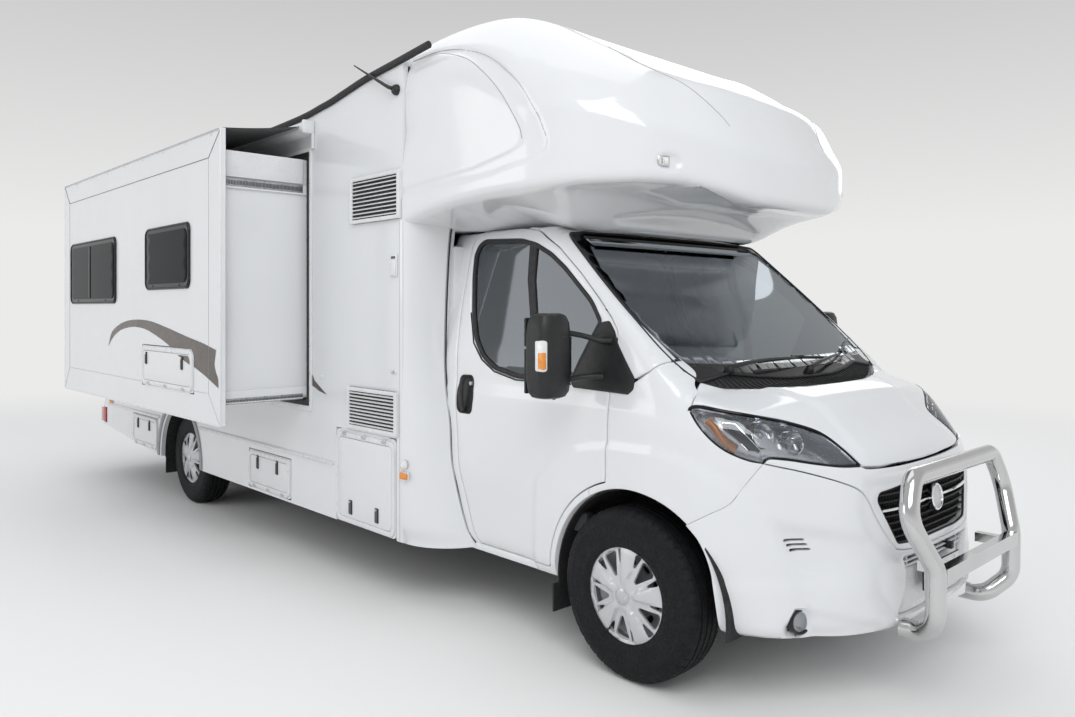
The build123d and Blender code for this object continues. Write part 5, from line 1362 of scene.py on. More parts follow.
for end, cy in (("front", 0.0), ("rear", WHEELBASE)):
    for side, mir in SIDES:
        body = "wheel_%s_%s" % (end, side)
        lo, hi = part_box("tyre_%s_%s" % (end, side))
        face = max(abs(lo[0] - SHIFT.x), abs(hi[0] - SHIFT.x))
        mid = -(face - TYRE_HALF)
        v, f = tyre_mesh(mid, cy, TYRE_R)
        b = Build()
        b.add(v, f)
        b.done("tyre_tread_%s_%s" % (end, side), ["tyre"], body, "tyre_%s_%s" % (end, side), mirrored=mir, angle=30)
        b = Build()
        hub = np.array((mid - 0.0925, cy, TYRE_R))
        b.add(np.array(cv) + hub, cf, 0)
        b.add(np.array(sv) + hub + (0.042, 0, 0), sf, 1)
        b.turn([(0.0, 0.186), (0.082, 0.186), (0.088, 0.196), (0.093, 0.207), (0.098, 0.2145), (0.1, 0.2165),
            (0.098, 0.2175), (0.09, 0.206), (0.07, 0.2), (-0.08, 0.2), (-0.095, 0.213), (-0.098, 0.214)],
            (mid, cy, TYRE_R), (-1, 0, 0), 72, 1)
        b.turn([(-0.02, 0.15), (-0.006, 0.15), (0.0, 0.146), (0.002, 0.06), (0.03, 0.055), (0.034, 0.0)],
            (mid, cy, TYRE_R), (-1, 0, 0), 48, 2)
        b.turn([(0.02, 0.033), (0.0285, 0.033), (0.0305, 0.03), (0.031, 0.025), (0.0325, 0.02), (0.033, 0.0)], hub,
            (-1, 0, 0), 40, 3)
        b.turn([(0.02, 0.037), (0.0275, 0.037), (0.029, 0.034), (0.027, 0.0325)], hub, (-1, 0, 0), 40, 0)
        t = math.radians(300)
        b.turn([(0, 0.004), (0.028, 0.004), (0.03, 0.003), (0.0305, 0)], hub + (0.01, 0.196 * math.cos(t),
            0.196 * math.sin(t)), (-1, 0, 0), 10, 2)
        b.done("wheel_cover_%s_%s" % (end, side), ["silver", "steel_wheel", "chassis", "alu"], body,
            "wheel_%s_%s" % (end, side), mirrored=mir, angle=38)

# ---------------------------------------------------------------- house body
WALL_X = -1.18          # side walls
DOOR_X = -1.184         # entry door's face, on the mirrored side
OPENING_X = -1.19       # frame of the slide-out's opening
FACE_X = -1.764         # slide-out's face


def rounded(y0, y1, z0, z1, r, by=0.0):
    """Rounded rectangle, its sides drawn in by a distance."""
    return fillet([(y0 + by, z0 + by), (y1 - by, z0 + by), (y1 - by, z1 - by), (y0 + by, z1 - by)], r)


def plane(x):
    """Field of the flat wall at x."""
    return lambda p: x - p[:, 0]


def rim(b, outline, x, r, mat=0, sides=8, flat=1.0):
    """Rounded bead round a (y, z) outline on a side wall."""
    b.sweep([(x, q[0], q[1]) for q in outline], r, mat, sides, closed=True, flat=flat, up=(1, 0, 0))


def screws(b, points, out=(-1, 0, 0), r=0.004, mat=0):
    for q in points:
        b.turn([(-0.002, r), (0.001, r), (0.0022, r * 0.6), (0.0024, 0.0)], q, out, 10, mat)


def vent(name, y0, y1, z0, z1, rows=10):
    """White framed grille, its sloping slats standing before a dark back."""
    b = Build()
    x = WALL_X - 0.0095
    outer, inner = rounded(y0, y1, z0, z1, 0.004), rounded(y0 + 0.028, y1 - 0.028, z0 + 0.022, z1 - 0.022, 0.004)
    b.cut(0, plane(x), "side", outer, [inner], lift=0.011, depth=0.018, curl=0.004, pitch=0.02, edge=0.01)
    b.box(x - 0.001, x + 0.002, y0 + 0.02, y1 - 0.02, z0 + 0.015, z1 - 0.015, 0.0005, 1)
    step = (z1 - z0 - 0.044) / rows
    for k in range(rows):
        z = z0 + 0.022 + step * (k + 0.5)
        slat = [(x - 0.0085, z - 0.06 * step), (x - 0.0085, z - 0.22 * step), (x - 0.001, z + 0.02 * step),
            (x - 0.001, z + 0.2 * step)]
        b.prism(slat, y0 + 0.026, y1 - 0.026, axis="y", mat=0)
    screws(b, [(x - 0.0115, yy, zz) for yy in (y0 + 0.012, y1 - 0.012) for zz in (z0 + 0.012, z1 - 0.012)], mat=0)
    b.done(name, ["trim_white", "liner"])


vent("vent_upper", 1.431, 1.947, 2.094, 2.36)
vent("vent_lower", 1.459, 1.981, 0.909, 1.15)


def locker(node, body, y0, y1, z0, z1, r, latches, hinge_low, latch_size=(0.02, 0.085), deep=0.006):
    """Framed door with rounded corners, sunk panel line, paddle latches and hinge knuckles."""
    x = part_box(node)[0][0] - SHIFT.x
    z0, z1 = (z0 + 0.008, z1) if hinge_low else (z0, z1 - 0.008)
    b = Build()
    b.cut(0, plane(x), "side", rounded(y0, y1, z0, z1, r), [rounded(y0, y1, z0, z1, r * 0.6, 0.03)], lift=deep,
        depth=deep + 0.002, curl=0.006, pitch=0.03, edge=0.012)
    b.cut(1, plane(x), "side", rounded(y0, y1, z0, z1, r * 0.58, 0.032), lift=0.0035, depth=0.008, curl=0.002,
        pitch=0.06, edge=0.012)
    w, h = latch_size
    for ly, lz in latches:
        b.box(x - deep - 0.004, x, ly - w / 2 - 0.004, ly + w / 2 + 0.004, lz - h / 2 - 0.004, lz + h / 2 + 0.004,
            0.003, 2)
        b.box(x - deep - 0.0085, x - deep, ly - w / 2, ly + w / 2, lz - h / 2, lz + h / 2 - 0.012, 0.004, 3)
        b.turn([(0, 0.006), (0.003, 0.006), (0.004, 0.004), (0.0042, 0)], (x - deep - 0.0035, ly, lz + h / 2 - 0.006),
            (-1, 0, 0), 12, 4)
    zh = z0 + 0.01 if hinge_low else z1 - 0.01
    for k in range(3):
        yy = y0 + (0.16 + 0.34 * k) * (y1 - y0)
        b.sweep([(x - 0.006, yy - 0.022, zh), (x - 0.006, yy + 0.022, zh)], 0.0055, 4, 10)
        b.box(x - deep - 0.002, x - 0.001, yy - 0.018, yy + 0.018, zh - 0.012, zh + 0.012, 0.0015, 4)
    b.done("frame_" + node, ["trim_white", "wall", "plastic_black", "seal", "alu"], body)


locker("locker_door_front", "locker_front", 1.492, 2.115, 0.349, 0.884, 0.055, [(1.665, 0.445), (1.945, 0.445)],
    False, (0.026, 0.075), 0.005)
locker("locker_door_middle", "locker_middle", 2.71, 3.326, 0.358, 0.616, 0.05, [(2.885, 0.545), (3.175, 0.545)], True)
locker("locker_door_rear", "locker_rear", 5.154, 5.776, 0.378, 0.642, 0.05, [(5.33, 0.575), (5.62, 0.575)], True)

# side fillers between the cab's doors and the house
FILL_EDGE = spline([(-0.95, 1.3, 2.085), (-0.958, 1.318, 1.9), (-0.972, 1.322, 1.6), (-0.98, 1.318, 1.324),
    (-0.998, 1.278, 1.14), (-1.004, 1.24, 0.995), (-1.006, 1.224, 0.812), (-1.004, 1.198, 0.705),
    (-0.996, 1.172, 0.606), (-0.992, 1.138, 0.511), (-0.988, 1.098, 0.427), (-0.975, 1.045, 0.365)], False, 0.02)
b = Build()
FILL_REAR = 1.448      # where the fillers meet the house
rows, cols = len(FILL_EDGE), 17
grid = np.empty((rows, cols, 3))
for i, (ex, ey, ez) in enumerate(FILL_EDGE):
    foot = step01(0.55, 0.365, np.array([ez]))[0]
    for k in range(cols):
        t = k / (cols - 1)
        z = ez - (0.365 - (0.318 + 0.012 * t)) * foot * t ** 0.5
        tuck = 0.055 * step01(0.44, 0.34, np.array([z]))[0]
        grid[i, k] = WALL_X - 0.002 + (ex - WALL_X) * (1 - t) ** 2.2 + tuck * 0.5, ey + (FILL_REAR - ey) * t, z
b.add(grid.reshape(-1, 3), quads(rows, cols, turned=True), 0)
edge_in = FILL_EDGE + np.array((0.045, 0.012, 0.0))
b.add(np.vstack([FILL_EDGE, edge_in]), [(i, rows + i, rows + i + 1, i + 1) for i in range(rows - 1)], 0)
under = grid[-1] + np.array((0.16, 0, 0.004))
b.add(np.vstack([grid[-1], under]), [(k, k + 1, cols + k + 1, cols + k) for k in range(cols - 1)], 0)
b.sweep(FILL_EDGE + np.array((0.008, -0.003, 0)), 0.0042, 1, 8)
b.sweep([(WALL_X - 0.0025, 1.449, 0.335), (WALL_X - 0.0025, 1.449, 2.08)], 0.0009, 2, 6)
b.mirror()
b.done("filler_panels", ["gelcoat", "rubber", "grey_line"], replaces="side_fillers")

# slide-out: face seams, edge trims, windows, hatch, racks and seals
b = Build()
x = FACE_X - 0.0004
for r, mat, pts in ((0.0022, 0, [(5.551, 2.493), (2.59, 2.499)]), (0.0022, 0, [(5.551, 2.493), (5.697, 2.65)]),
        (0.0022, 0, [(2.59, 2.499), (2.424, 2.64)]), (0.0016, 1, [(5.551, 2.493), (5.551, 1.105), (5.69, 0.93)]),
        (0.0011, 1, [(2.59, 2.499), (2.59, 1.1), (2.43, 0.93)]), (0.0011, 1, [(5.551, 1.105), (2.59, 1.1)])):
    b.sweep(polyline([(x, q[0], q[1]) for q in pts], False, 0.05), r, mat, 6)
b.done("slide_face_seams", ["seal", "grey_line"], "slide_room")
b = Build()
b.sweep([(FACE_X + 0.002, q[0], q[1]) for q in rounded(2.421, 5.7, 0.921, 2.653, 0.012)], 0.0055, 0, 8, closed=True)
b.box(-1.745, -1.7345, 2.418, 2.436, 0.922, 2.652, 0.003, 1)
b.box(-1.745, -1.7345, 5.684, 5.702, 0.922, 2.652, 0.003, 1)
b.box(-1.738, -1.7345, 2.436, 5.684, 0.94, 1.046, 0.001, 1)
b.sweep(polyline([(FACE_X - 0.001, 2.44, 2.648), (FACE_X - 0.001, 5.69, 2.648)], False, 0.1), 0.006, 2, 8)
screws(b, [(FACE_X - 0.002, 2.55 + 0.395 * k, 2.63) for k in range(9)], mat=2, r=0.005)
for y0, y1, thin in ((2.4205, 2.4765, 2.4785), (5.6435, 5.6995, 5.6415)):
    b.box(-1.7345, -1.731, y0, y1, 0.932, 2.642, 0.0015, 1)
    b.box(-1.733, -1.715, thin, 2.4805 if thin < 4 else 5.6395, 1.046, 2.54, 0.0005, 1)
b.done("slide_face_edges", ["trim_white", "rubber", "alu"], "slide_room")
b = Build()
for z0, z1 in ((1.037, 1.072), (2.33, 2.376)):
    for yy, d in ((2.48, -1), (5.64, 1)):
        b.box(-1.73, -1.215, yy, yy + d * 0.0022, z0, z1, 0.001, 0)
        n = 56
        for k in range(n):
            xx = -1.724 + 0.505 * (k + 0.25) / n
            b.box(xx, xx + 0.0048, yy + d * 0.0022, yy + d * 0.0045, z0 + 0.01, z1 - 0.01, 0.0006, 1)
        screws(b, [(-1.7 + 0.115 * k, yy + d * 0.001, zz) for k in range(5) for zz in (z0 + 0.004, z1 - 0.004)],
            (0, d, 0), 0.0035, 1)
b.box(-1.728, -1.215, 2.476, 2.4795, 1.042, 1.05, 0.001, 2)
b.box(-1.7345, -1.215, 2.477, 2.48, 2.386, 2.54, 0.001, 2)
b.done("slide_racks", ["galv", "seal", "trim_white"], "slide_room")
# wall opening: black wiper seal and white frame with screws
b = Build()
b.cut(0, plane(OPENING_X), "side", rounded(2.438, 5.682, 0.992, 2.59, 0.01), [rounded(2.4715, 5.6485, 1.0315, 2.5545,
    0.006)], lift=0.0045, depth=0.01, curl=0.004, pitch=0.08, edge=0.03)
b.cut(1, plane(OPENING_X), "side", rounded(2.421, 5.699, 0.962, 2.612, 0.006), [rounded(2.442, 5.678, 0.996, 2.586,
    0.004)], lift=0.0035, depth=0.01, curl=0.003, pitch=0.08, edge=0.03)
screws(b, [(-1.193, yy, 1.03 + 0.17 * k) for k in range(10) for yy in (2.431, 5.689)], mat=2, r=0.005)
screws(b, [(-1.193, 2.6 + 0.26 * k, zz) for k in range(12) for zz in (0.978, 2.6)], mat=2, r=0.005)
b.done("slide_opening_trim", ["rubber", "trim_white", "alu"])


def window(name, body, x, y0, y1, z0, z1, r, replaces=(), divider=None, side=-1):
    """Dark acrylic pane in a black rounded frame, with a bead between them."""
    b = Build()
    outer, mid, inner = (rounded(y0, y1, z0, z1, r * share, by) for share, by in ((1, 0), (0.85, 0.012),
        (0.7, 0.045)))
    field = plane(x)
    b.cut(0, field, "side", outer, [inner], lift=0.0, depth=0.024, curl=0.006, pitch=0.04)
    b.cut(1, field, "side", grow(inner, 0.006), lift=0.003, depth=0.006, curl=0.004, pitch=0.06)
    rim(b, mid[::2], x - 0.0015, 0.0035, 2)
    if divider:
        b.box(x - 0.008, x, divider - 0.014, divider + 0.014, z0 + 0.045, z1 - 0.045, 0.003, 0)
    screws(b, [(x - 0.0015, yy, z0 + 0.026) for yy in (y0 + 0.2 * (y1 - y0), y0 + 0.8 * (y1 - y0))], mat=0, r=0.006)
    b.done(name, ["plastic_gloss", "acrylic", "rubber"], body, replaces, mirrored=side > 0)


window("slide_window_rear", "slide_room", -1.774, 4.303, 5.489, 1.64, 2.142, 0.055, "slide_windows", divider=4.93)
window("slide_window_front", "slide_room", -1.774, 2.87, 3.663, 1.728, 2.146, 0.055)

# hatch in the slide-out
locker("slide_hatch", "slide_hatch", 2.822, 3.736, 1.081, 1.349, 0.06, [(2.984, 1.262), (3.631, 1.268)], True,
    (0.018, 0.075))

# stripe on the slide-out's face, and its tip on the wall
SWOOSH = spline([(4.498, 1.317), (4.416, 1.424), (4.24, 1.486), (4.041, 1.517), (3.809, 1.527), (3.571, 1.518),
    (3.275, 1.481), (2.935, 1.431), (2.684, 1.398), (2.478, 1.362)], False, 0.02)
SWOOSH_END = spline([(2.478, 1.362), (2.487, 1.332), (2.501, 1.274), (2.478, 1.229), (2.45, 1.196), (2.444, 1.141)],
    False, 0.02)
SWOOSH_BACK = spline([(2.444, 1.141), (2.624, 1.197), (2.798, 1.243), (3.0, 1.293), (3.257, 1.371), (3.42, 1.412),
    (3.649, 1.458), (3.851, 1.474), (4.041, 1.468), (4.24, 1.438), (4.402, 1.38), (4.498, 1.317)], False, 0.02)
SWOOSH = np.vstack([SWOOSH, SWOOSH_END[1:], SWOOSH_BACK[1:-1]])
HATCH_CUT = rounded(2.816, 3.742, 1.075, 1.355, 0.064)
HATCH_PANEL = rounded(2.86, 3.698, 1.118, 1.312, 0.04)


def film(b, outline, x, lift, mat, hole=None, only=None, pitch=0.012):
    """Thin flat film over an outline, less a hole or only inside another outline."""
    shape = polyline(outline, True, 0.008)
    lo, hi = shape.min(0), shape.max(0)
    gy, gz = (g.ravel() for g in np.meshgrid(np.arange(lo[0], hi[0], pitch), np.arange(lo[1], hi[1], pitch)))
    pts = np.vstack([shape, np.stack([gy, gz], 1)[signed(shape, gy, gz) < -0.004]])
    edges = loop_edges(0, len(shape))
    loop = hole if hole is not None else only
    if loop is not None:
        edges += loop_edges(len(pts), len(loop))
        pts = np.vstack([pts, loop])
    v2, tri = triangles(pts, edges)
    mid = v2[tri].mean(1)
    ok = signed(outline, mid[:, 0], mid[:, 1]) < 0
    if hole is not None:
        ok &= signed(hole, mid[:, 0], mid[:, 1]) > 0
    if only is not None:
        ok &= signed(only, mid[:, 0], mid[:, 1]) < 0
    v2, tri = only_used(v2, tri[ok])
    v = [(x - lift, q[0], q[1]) for q in v2]
    f = [tuple(t) for t in tri]
    a, c, e = (np.array(v)[[q[k] for q in f]] for k in range(3))
    if np.cross(c - a, e - a)[:, 0].sum() > 0:
        f = [q[::-1] for q in f]
    b.add(v, f, mat)


b = Build()
film(b, SWOOSH, FACE_X, 0.0008, 0, hole=HATCH_CUT)
b.done("stripe_face", ["swoosh"], "slide_room", smooth=False, angle=None)
b = Build()
film(b, SWOOSH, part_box("slide_hatch")[0][0] - SHIFT.x, 0.0043, 0, only=HATCH_PANEL)
b.done("stripe_hatch", ["swoosh"], "slide_hatch", smooth=False, angle=None)
TIP = np.array([(2.422, 1.196), (2.391, 1.156), (2.326, 1.123), (2.241, 1.079), (2.337, 1.095), (2.422, 1.124)])
b = Build()
film(b, TIP, WALL_X, 0.0008, 0)
b.done("stripe_wall", ["swoosh"], smooth=False, angle=None)

# topper: cloth rolled out from its housing to the slide-out's front edge
b = Build()
for y0, y1 in ((2.386, 2.413), (5.708, 5.735)):
    b.box(-1.262, -1.18, y0, y1, 2.69, 2.775, 0.012, 0)
    b.box(-1.2, -1.181, y0, y1, 2.6, 2.7, 0.006, 0)
prof = [(-1.181, 2.69), (-1.181, 2.768), (-1.215, 2.772), (-1.248, 2.76), (-1.258, 2.735), (-1.254, 2.712),
    (-1.235, 2.7), (-1.215, 2.69)]
b.prism(prof, 2.413, 5.708, axis="y", mat=0, bevel=0.002)
b.done("topper_housing", ["trim_white"], replaces="topper_roller")

CLOTH_Y, CLOTH_X, CLOTH_Z = (2.44, 5.68), (-1.25, -1.752), (2.738, 2.659)
CLOTH_THICK = 0.0012
ny, nx = 82, 15
cv_ = []
for j in range(ny):
    t = j / (ny - 1)
    for i in range(nx):
        s = i / (nx - 1)
        sag = -0.01 * math.sin(math.pi * s) * (0.7 + 0.3 * math.cos(2 * math.pi * t * 5.0 + 0.7))
        ripple = 0.0014 * math.sin(2 * math.pi * t * 23 + 1.3) * math.sin(math.pi * s)
        x, y, z = (lo + (hi - lo) * u for (lo, hi), u in ((CLOTH_X, s), (CLOTH_Y, t), (CLOTH_Z, s)))
        cv_.append((x, y, z + sag + ripple))
cf_ = quads(ny, nx)
n, last = len(cv_), (ny - 1) * nx
cf_ += [tuple(i + n for i in q[::-1]) for q in cf_]
for i in range(nx - 1):
    cf_ += [(i, i + n, i + 1 + n, i + 1), (last + i, last + i + 1, last + i + 1 + n, last + i + n)]
for j in range(0, last, nx):
    end = j + nx - 1
    cf_ += [(j, j + nx, j + nx + n, j + n), (end, end + n, end + nx + n, end + nx)]
b = Build()
b.add(cv_ + [(x, y, z - CLOTH_THICK) for x, y, z in cv_], cf_, 0)
cloth = b.done("topper_sheet", ["topper"], None, "topper_cloth", angle=60)
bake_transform(cloth)
# small things on the right wall
b = Build()
y, z = 1.502, 1.841
b.box(WALL_X - 0.01, WALL_X, y - 0.034, y + 0.034, z - 0.062, z + 0.062, 0.008, 0)
b.box(WALL_X - 0.016, WALL_X - 0.008, y - 0.028, y + 0.028, z - 0.055, z + 0.03, 0.006, 0)
b.box(WALL_X - 0.012, WALL_X - 0.008, y - 0.02, y + 0.02, z + 0.036, z + 0.05, 0.003, 1)
b.done("outlet_cover", ["trim_white", "seal"])
b = Build()
b.box(WALL_X - 0.012, WALL_X, 1.476, 1.5, 1.79, 1.822, 0.004, 0)
b.turn([(0, 0.01), (0.02, 0.009), (0.026, 0.006), (0.027, 0)], (WALL_X, 1.5, 1.259), (-1, 0, 0), 18, 1)
b.turn([(0, 0.016), (0.004, 0.016), (0.006, 0.012), (0.0065, 0)], (WALL_X, 1.498, 1.259), (-1, 0, 0), 24, 2)
b.turn([(0, 0.014), (0.006, 0.013), (0.01, 0.008), (0.011, 0)], (WALL_X, 2.3, 1.187), (-1, 0, 0), 20, 2)
b.done("wall_fittings", ["plastic_black", "alu", "trim_white"])


def marker(name, y, z, w, h, look, side=-1, x=WALL_X):
    b = Build()
    b.box(x - 0.006, x, y - w / 2 - 0.006, y + w / 2 + 0.006, z - h / 2 - 0.005, z + h / 2 + 0.005, 0.003, 0)
    b.box(x - 0.018, x - 0.004, y - w / 2, y + w / 2, z - h / 2, z + h / 2, 0.006, 1)
    for k in range(1, int(w / 0.008)):
        b.box(x - 0.0188, x - 0.017, y - w / 2 + 0.008 * k - 0.001, y - w / 2 + 0.008 * k + 0.001, z - h / 2 + 0.006,
            z + h / 2 - 0.006, 0.0005, 1)
    b.done(name, ["trim_white", look], mirrored=side > 0)


for side, tag in ((-1, "right"), (1, "left")):
    marker("marker_front_" + tag, 1.402, 0.705, 0.066, 0.036, "lamp_amber", side)
    marker("marker_rear_" + tag, 6.4, 0.705, 0.066, 0.036, "lamp_amber", side)
    marker("marker_top_" + tag, 6.54, 2.66, 0.06, 0.028, "lamp_red", side)
b = Build()
b.turn([(0, 0.026), (0.01, 0.025), (0.02, 0.018), (0.024, 0.008), (0.0245, 0)], (WALL_X, 1.405, 0.765), (-1, 0, 0),
    28, 0)
b.mirror()
b.done("marker_lamps_round", ["lamp_white"])

# aerial
b = Build()
b.turn([(0, 0.03), (0.01, 0.03), (0.022, 0.024), (0.03, 0.012), (0.031, 0)], (WALL_X, 1.479, 2.794), (-1, 0, 0), 24,
    0)
whip = [(-1.205, 1.485, 2.8), (-1.214, 1.515, 2.812), (-1.216, 1.6, 2.858), (-1.217, 1.76, 2.945),
    (-1.218, 1.86, 3.0)]
b.sweep(spline(whip, False, 0.02), list(np.linspace(0.011, 0.0035, len(spline(whip, False, 0.02)))), 0, 10)
b.done("aerial_whip", ["plastic_black"])

# roof edge: black strip over the joint of wall and roof
EDGE_LINE = [(6.62, 2.765), (5.0, 2.765), (2.838, 2.806), (2.269, 2.843), (2.015, 2.878), (1.783, 2.913),
    (1.45, 2.945), (1.175, 2.972)]
trim = spline([(WALL_X - 0.006, q[0], q[1]) for q in EDGE_LINE], False, 0.04)
b = Build()
b.sweep(trim, 0.018, 0, 8, flat=1.15)
b.mirror()
b.done("roof_edge_strip", ["rubber"])
# white rail along the top of the skirt, and the bands round the rear wheel arches
b = Build()
for y0, y1 in ((2.15, 4.215), (5.095, 6.5)):
    b.sweep(polyline([(WALL_X - 0.003, y0, 0.672), (WALL_X - 0.003, y1, 0.672)], False, 0.08), 0.011, 0, 10)
b.mirror()
b.done("skirt_rails", ["trim_white"])
# bands round the rear wheel arches: a flat grey moulding whose darkness is partly painted shade of the lip curving in
# toward the tyre
b = Build()
R = 0.44
band = [(4.66 + r * math.cos(math.radians(a)), 0.375 + r * math.sin(math.radians(a))) for r,
    turn in ((R, np.linspace(-4, 184, 60)), (R + 0.048, np.linspace(184, -4, 60))) for a in turn]
b.cut(0, plane(WALL_X), "side", np.array(band), lift=0.009, depth=0.055, curl=0.006, pitch=0.02)
b.mirror()
b.done("rear_arch_trims", ["grey_trim"])
# left side, rear and roof: windows, entry door, awning, cooler, hatch, lamps
for name, y0, y1 in (("left_window_front", 3.222, 4.278), ("left_window_rear", 4.872, 6.028)):
    window(name, "root", -1.196, y0, y1, 1.552, 2.168, 0.085, "body_windows" if y0 < 4 else (), divider=(y0 + y1) / 2,
        side=1)
REAR_Y = 6.64
b = Build()
outer, inner = rounded(-0.528, 0.528, 1.552, 2.168, 0.085), rounded(-0.483, 0.483, 1.597, 2.123, 0.06)


def rear_skin(outline, holes, lift, depth, mat, curl=0.006):
    v, f = skin(plane(-1.0), "side", outline, holes, lift=lift, depth=depth, curl=curl, pitch=0.05)
    b.add([(q[1], REAR_Y - 1.0 - q[0], q[2]) for q in v], f, mat)


rear_skin(outer, [inner], 0.014, 0.022, 0)
rear_skin(grow(inner, 0.006), (), 0.01, 0.006, 1, 0.004)
b.box(-0.014, 0.014, REAR_Y + 0.012, REAR_Y + 0.017, 1.597, 2.123, 0.002, 0)
b.done("rear_window", ["plastic_gloss", "acrylic"])
b = Build()
b.box(-0.26, 0.26, REAR_Y + 0.001, REAR_Y + 0.01, 0.905, 1.035, 0.006, 1)
b.box(-0.19, 0.19, REAR_Y + 0.01, REAR_Y + 0.014, 0.915, 1.025, 0.002, 2)
for x in (-0.12, 0.12):
    b.box(x - 0.03, x + 0.03, REAR_Y + 0.001, REAR_Y + 0.03, 1.045, 1.066, 0.006, 1)
for x in (-0.45, 0.0, 0.45):
    b.box(x - 0.05, x + 0.05, REAR_Y + 0.001, REAR_Y + 0.018, 2.65, 2.672, 0.006, 3)
for s in (-1, 1):
    b.sweep([(s * 1.166, REAR_Y + 0.003, 0.68), (s * 1.166, REAR_Y + 0.003, 2.745)], 0.013, 0, 8)
    b.box(s * 1.12, s * 1.07, REAR_Y + 0.001, REAR_Y + 0.009, 0.74, 0.79, 0.003, 3)
b.sweep([(-1.166, REAR_Y + 0.003, 2.752), (1.166, REAR_Y + 0.003, 2.752)], 0.013, 0, 8)
b.sweep([(-1.166, REAR_Y + 0.003, 0.676), (1.166, REAR_Y + 0.003, 0.676)], 0.01, 0, 8)
b.done("rear_fittings", ["trim_white", "plastic_black", "plate", "lamp_red"])

# tail lamps: a housing with red, amber and clear fields, ribbed
b = Build()
for z0, z1, m in ((0.484, 0.528, 1), (0.532, 0.576, 2), (0.58, 0.626, 3)):
    b.box(-1.166, -1.09, 6.712, 6.7195, z0, z1, 0.003, m)
    for k in range(6):
        b.box(-1.16 + 0.0115 * k, -1.154 + 0.0115 * k, 6.719, 6.721, z0 + 0.005, z1 - 0.005, 0.0008, m)
b.box(-1.1885, -1.15, 6.575, 6.712, 0.486, 0.624, 0.006, 3)
b.box(-1.17, -1.086, 6.56, 6.714, 0.48, 0.63, 0.01, 0)
b.mirror()
b.done("tail_lamp_units", ["plastic_black", "lamp_white", "lamp_amber", "lamp_red"], replaces="tail_lamps")

# entry door: frame, window, handle and step
b = Build()
b.cut(0, plane(WALL_X), "side", rounded(2.346, 2.942, 0.724, 2.5, 0.05), [rounded(2.36, 2.928, 0.738, 2.486, 0.04)],
    lift=0.0045, depth=0.006, curl=0.003, pitch=0.08)
b.cut(1, plane(WALL_X), "side", rounded(2.362, 2.926, 0.74, 2.484, 0.04), lift=0.003, depth=0.006, curl=0.003,
    pitch=0.08)
wo, wi = rounded(2.47, 2.8, 1.58, 2.2, 0.06), rounded(2.495, 2.775, 1.605, 2.175, 0.045)
b.cut(2, plane(DOOR_X), "side", wo, [wi], lift=0.01, depth=0.014, curl=0.005, pitch=0.04)
b.cut(3, plane(DOOR_X), "side", grow(wi, 0.005), lift=0.006, depth=0.006, curl=0.003, pitch=0.06)
b.box(-1.2045, -1.184, 2.846, 2.906, 1.345, 1.505, 0.01, 2)
b.sweep([(-1.196, 2.876, 1.352), (-1.213, 2.876, 1.375), (-1.216, 2.876, 1.425), (-1.213, 2.876, 1.475),
    (-1.196, 2.876, 1.498)], 0.009, 2, 10)
b.turn([(0, 0.012), (0.004, 0.012), (0.006, 0.008), (0.0062, 0)], (-1.204, 2.895, 1.33), (-1, 0, 0), 18, 4)
b.done("entry_door_face", ["trim_white", "wall", "plastic_gloss", "acrylic", "alu"], "entry_door", mirrored=True)
b = Build()
surround = fillet([(2.302, 2.532), (2.97, 2.532), (2.97, 0.69), (2.302, 0.69), (2.302, 0.672), (2.996, 0.672),
    (2.996, 2.556), (2.302, 2.556)], 0.008)
b.cut(0, plane(WALL_X), "side", surround, lift=0.007, depth=0.009, curl=0.003, pitch=0.08)
b.box(-1.2, -1.182, 2.2, 3.06, 2.562, 2.572, 0.003, 0)
b.done("entry_door_surround", ["trim_white"], mirrored=True)
b = Build()
b.box(-1.196, -1.14, 2.33, 2.93, 0.352, 0.378, 0.008, 0)
for k in range(9):
    b.box(-1.198 + 0.006 * k, -1.195 + 0.006 * k, 2.345, 2.915, 0.378, 0.381, 0.001, 0)
b.done("entry_step", ["alu"], mirrored=True)

# awning housing's end caps and joint lines
b = Build()
for y0, y1 in ((2.138, 2.152), (6.098, 6.112)):
    b.prism([(-1.181, 2.598), (-1.241, 2.598), (-1.281, 2.65), (-1.281, 2.712), (-1.241, 2.742), (-1.181, 2.742)], y0,
        y1, axis="y", mat=0, bevel=0.004)
b.sweep([(-1.2805, 2.152, 2.664), (-1.2805, 6.098, 2.664)], 0.0025, 1, 6)
b.sweep([(-1.262, 2.152, 2.6255), (-1.262, 6.098, 2.6255)], 0.0025, 1, 6)
b.done("awning_trim", ["trim_white", "seal"], mirrored=True)

# cooler on the roof: moulded hood with side louvres
b = Build()
hood = [(3.925, 2.802), (3.952, 2.9), (4.02, 2.972), (4.12, 2.986), (4.45, 2.972), (4.7, 2.95), (4.765, 2.9),
    (4.785, 2.802)]
rows_ = []
for k, s in enumerate(np.linspace(-1, 1, 25)):
    x = 0.33 * math.sin(s * math.pi / 2)
    lower = 0.1 * (1 - math.sqrt(max(0, 1 - abs(s) ** 6)))
    rows_.append([(x, y + 0.5 * lower * (1 if y < 4.3 else -1), 2.8 + (z - 2.8) * (1 - 0.75 * (1 - math.sqrt(max(0.0,
        1 - (x / 0.3302) ** 8))))) for y, z in hood])
n = len(rows_), len(hood)
b.add([q for r in rows_ for q in r], quads(*n, turned=True) + end_faces(*n), 0)
for s in (-1, 1):
    for k in range(7):
        b.box(s * 0.326, s * 0.334, 4.1, 4.6, 2.832 + 0.014 * k, 2.839 + 0.014 * k, 0.002, 1)
for k in range(9):
    b.box(-0.2 + 0.045 * k, -0.175 + 0.045 * k, 4.776, 4.792, 2.825, 2.895, 0.003, 1)
b.done("cooler_hood", ["trim_white", "seal"], replaces="air_conditioner")
b = Build()
b.box(-0.352, 0.352, 2.998, 3.502, 2.8235, 2.845, 0.01, 0)
dome = []
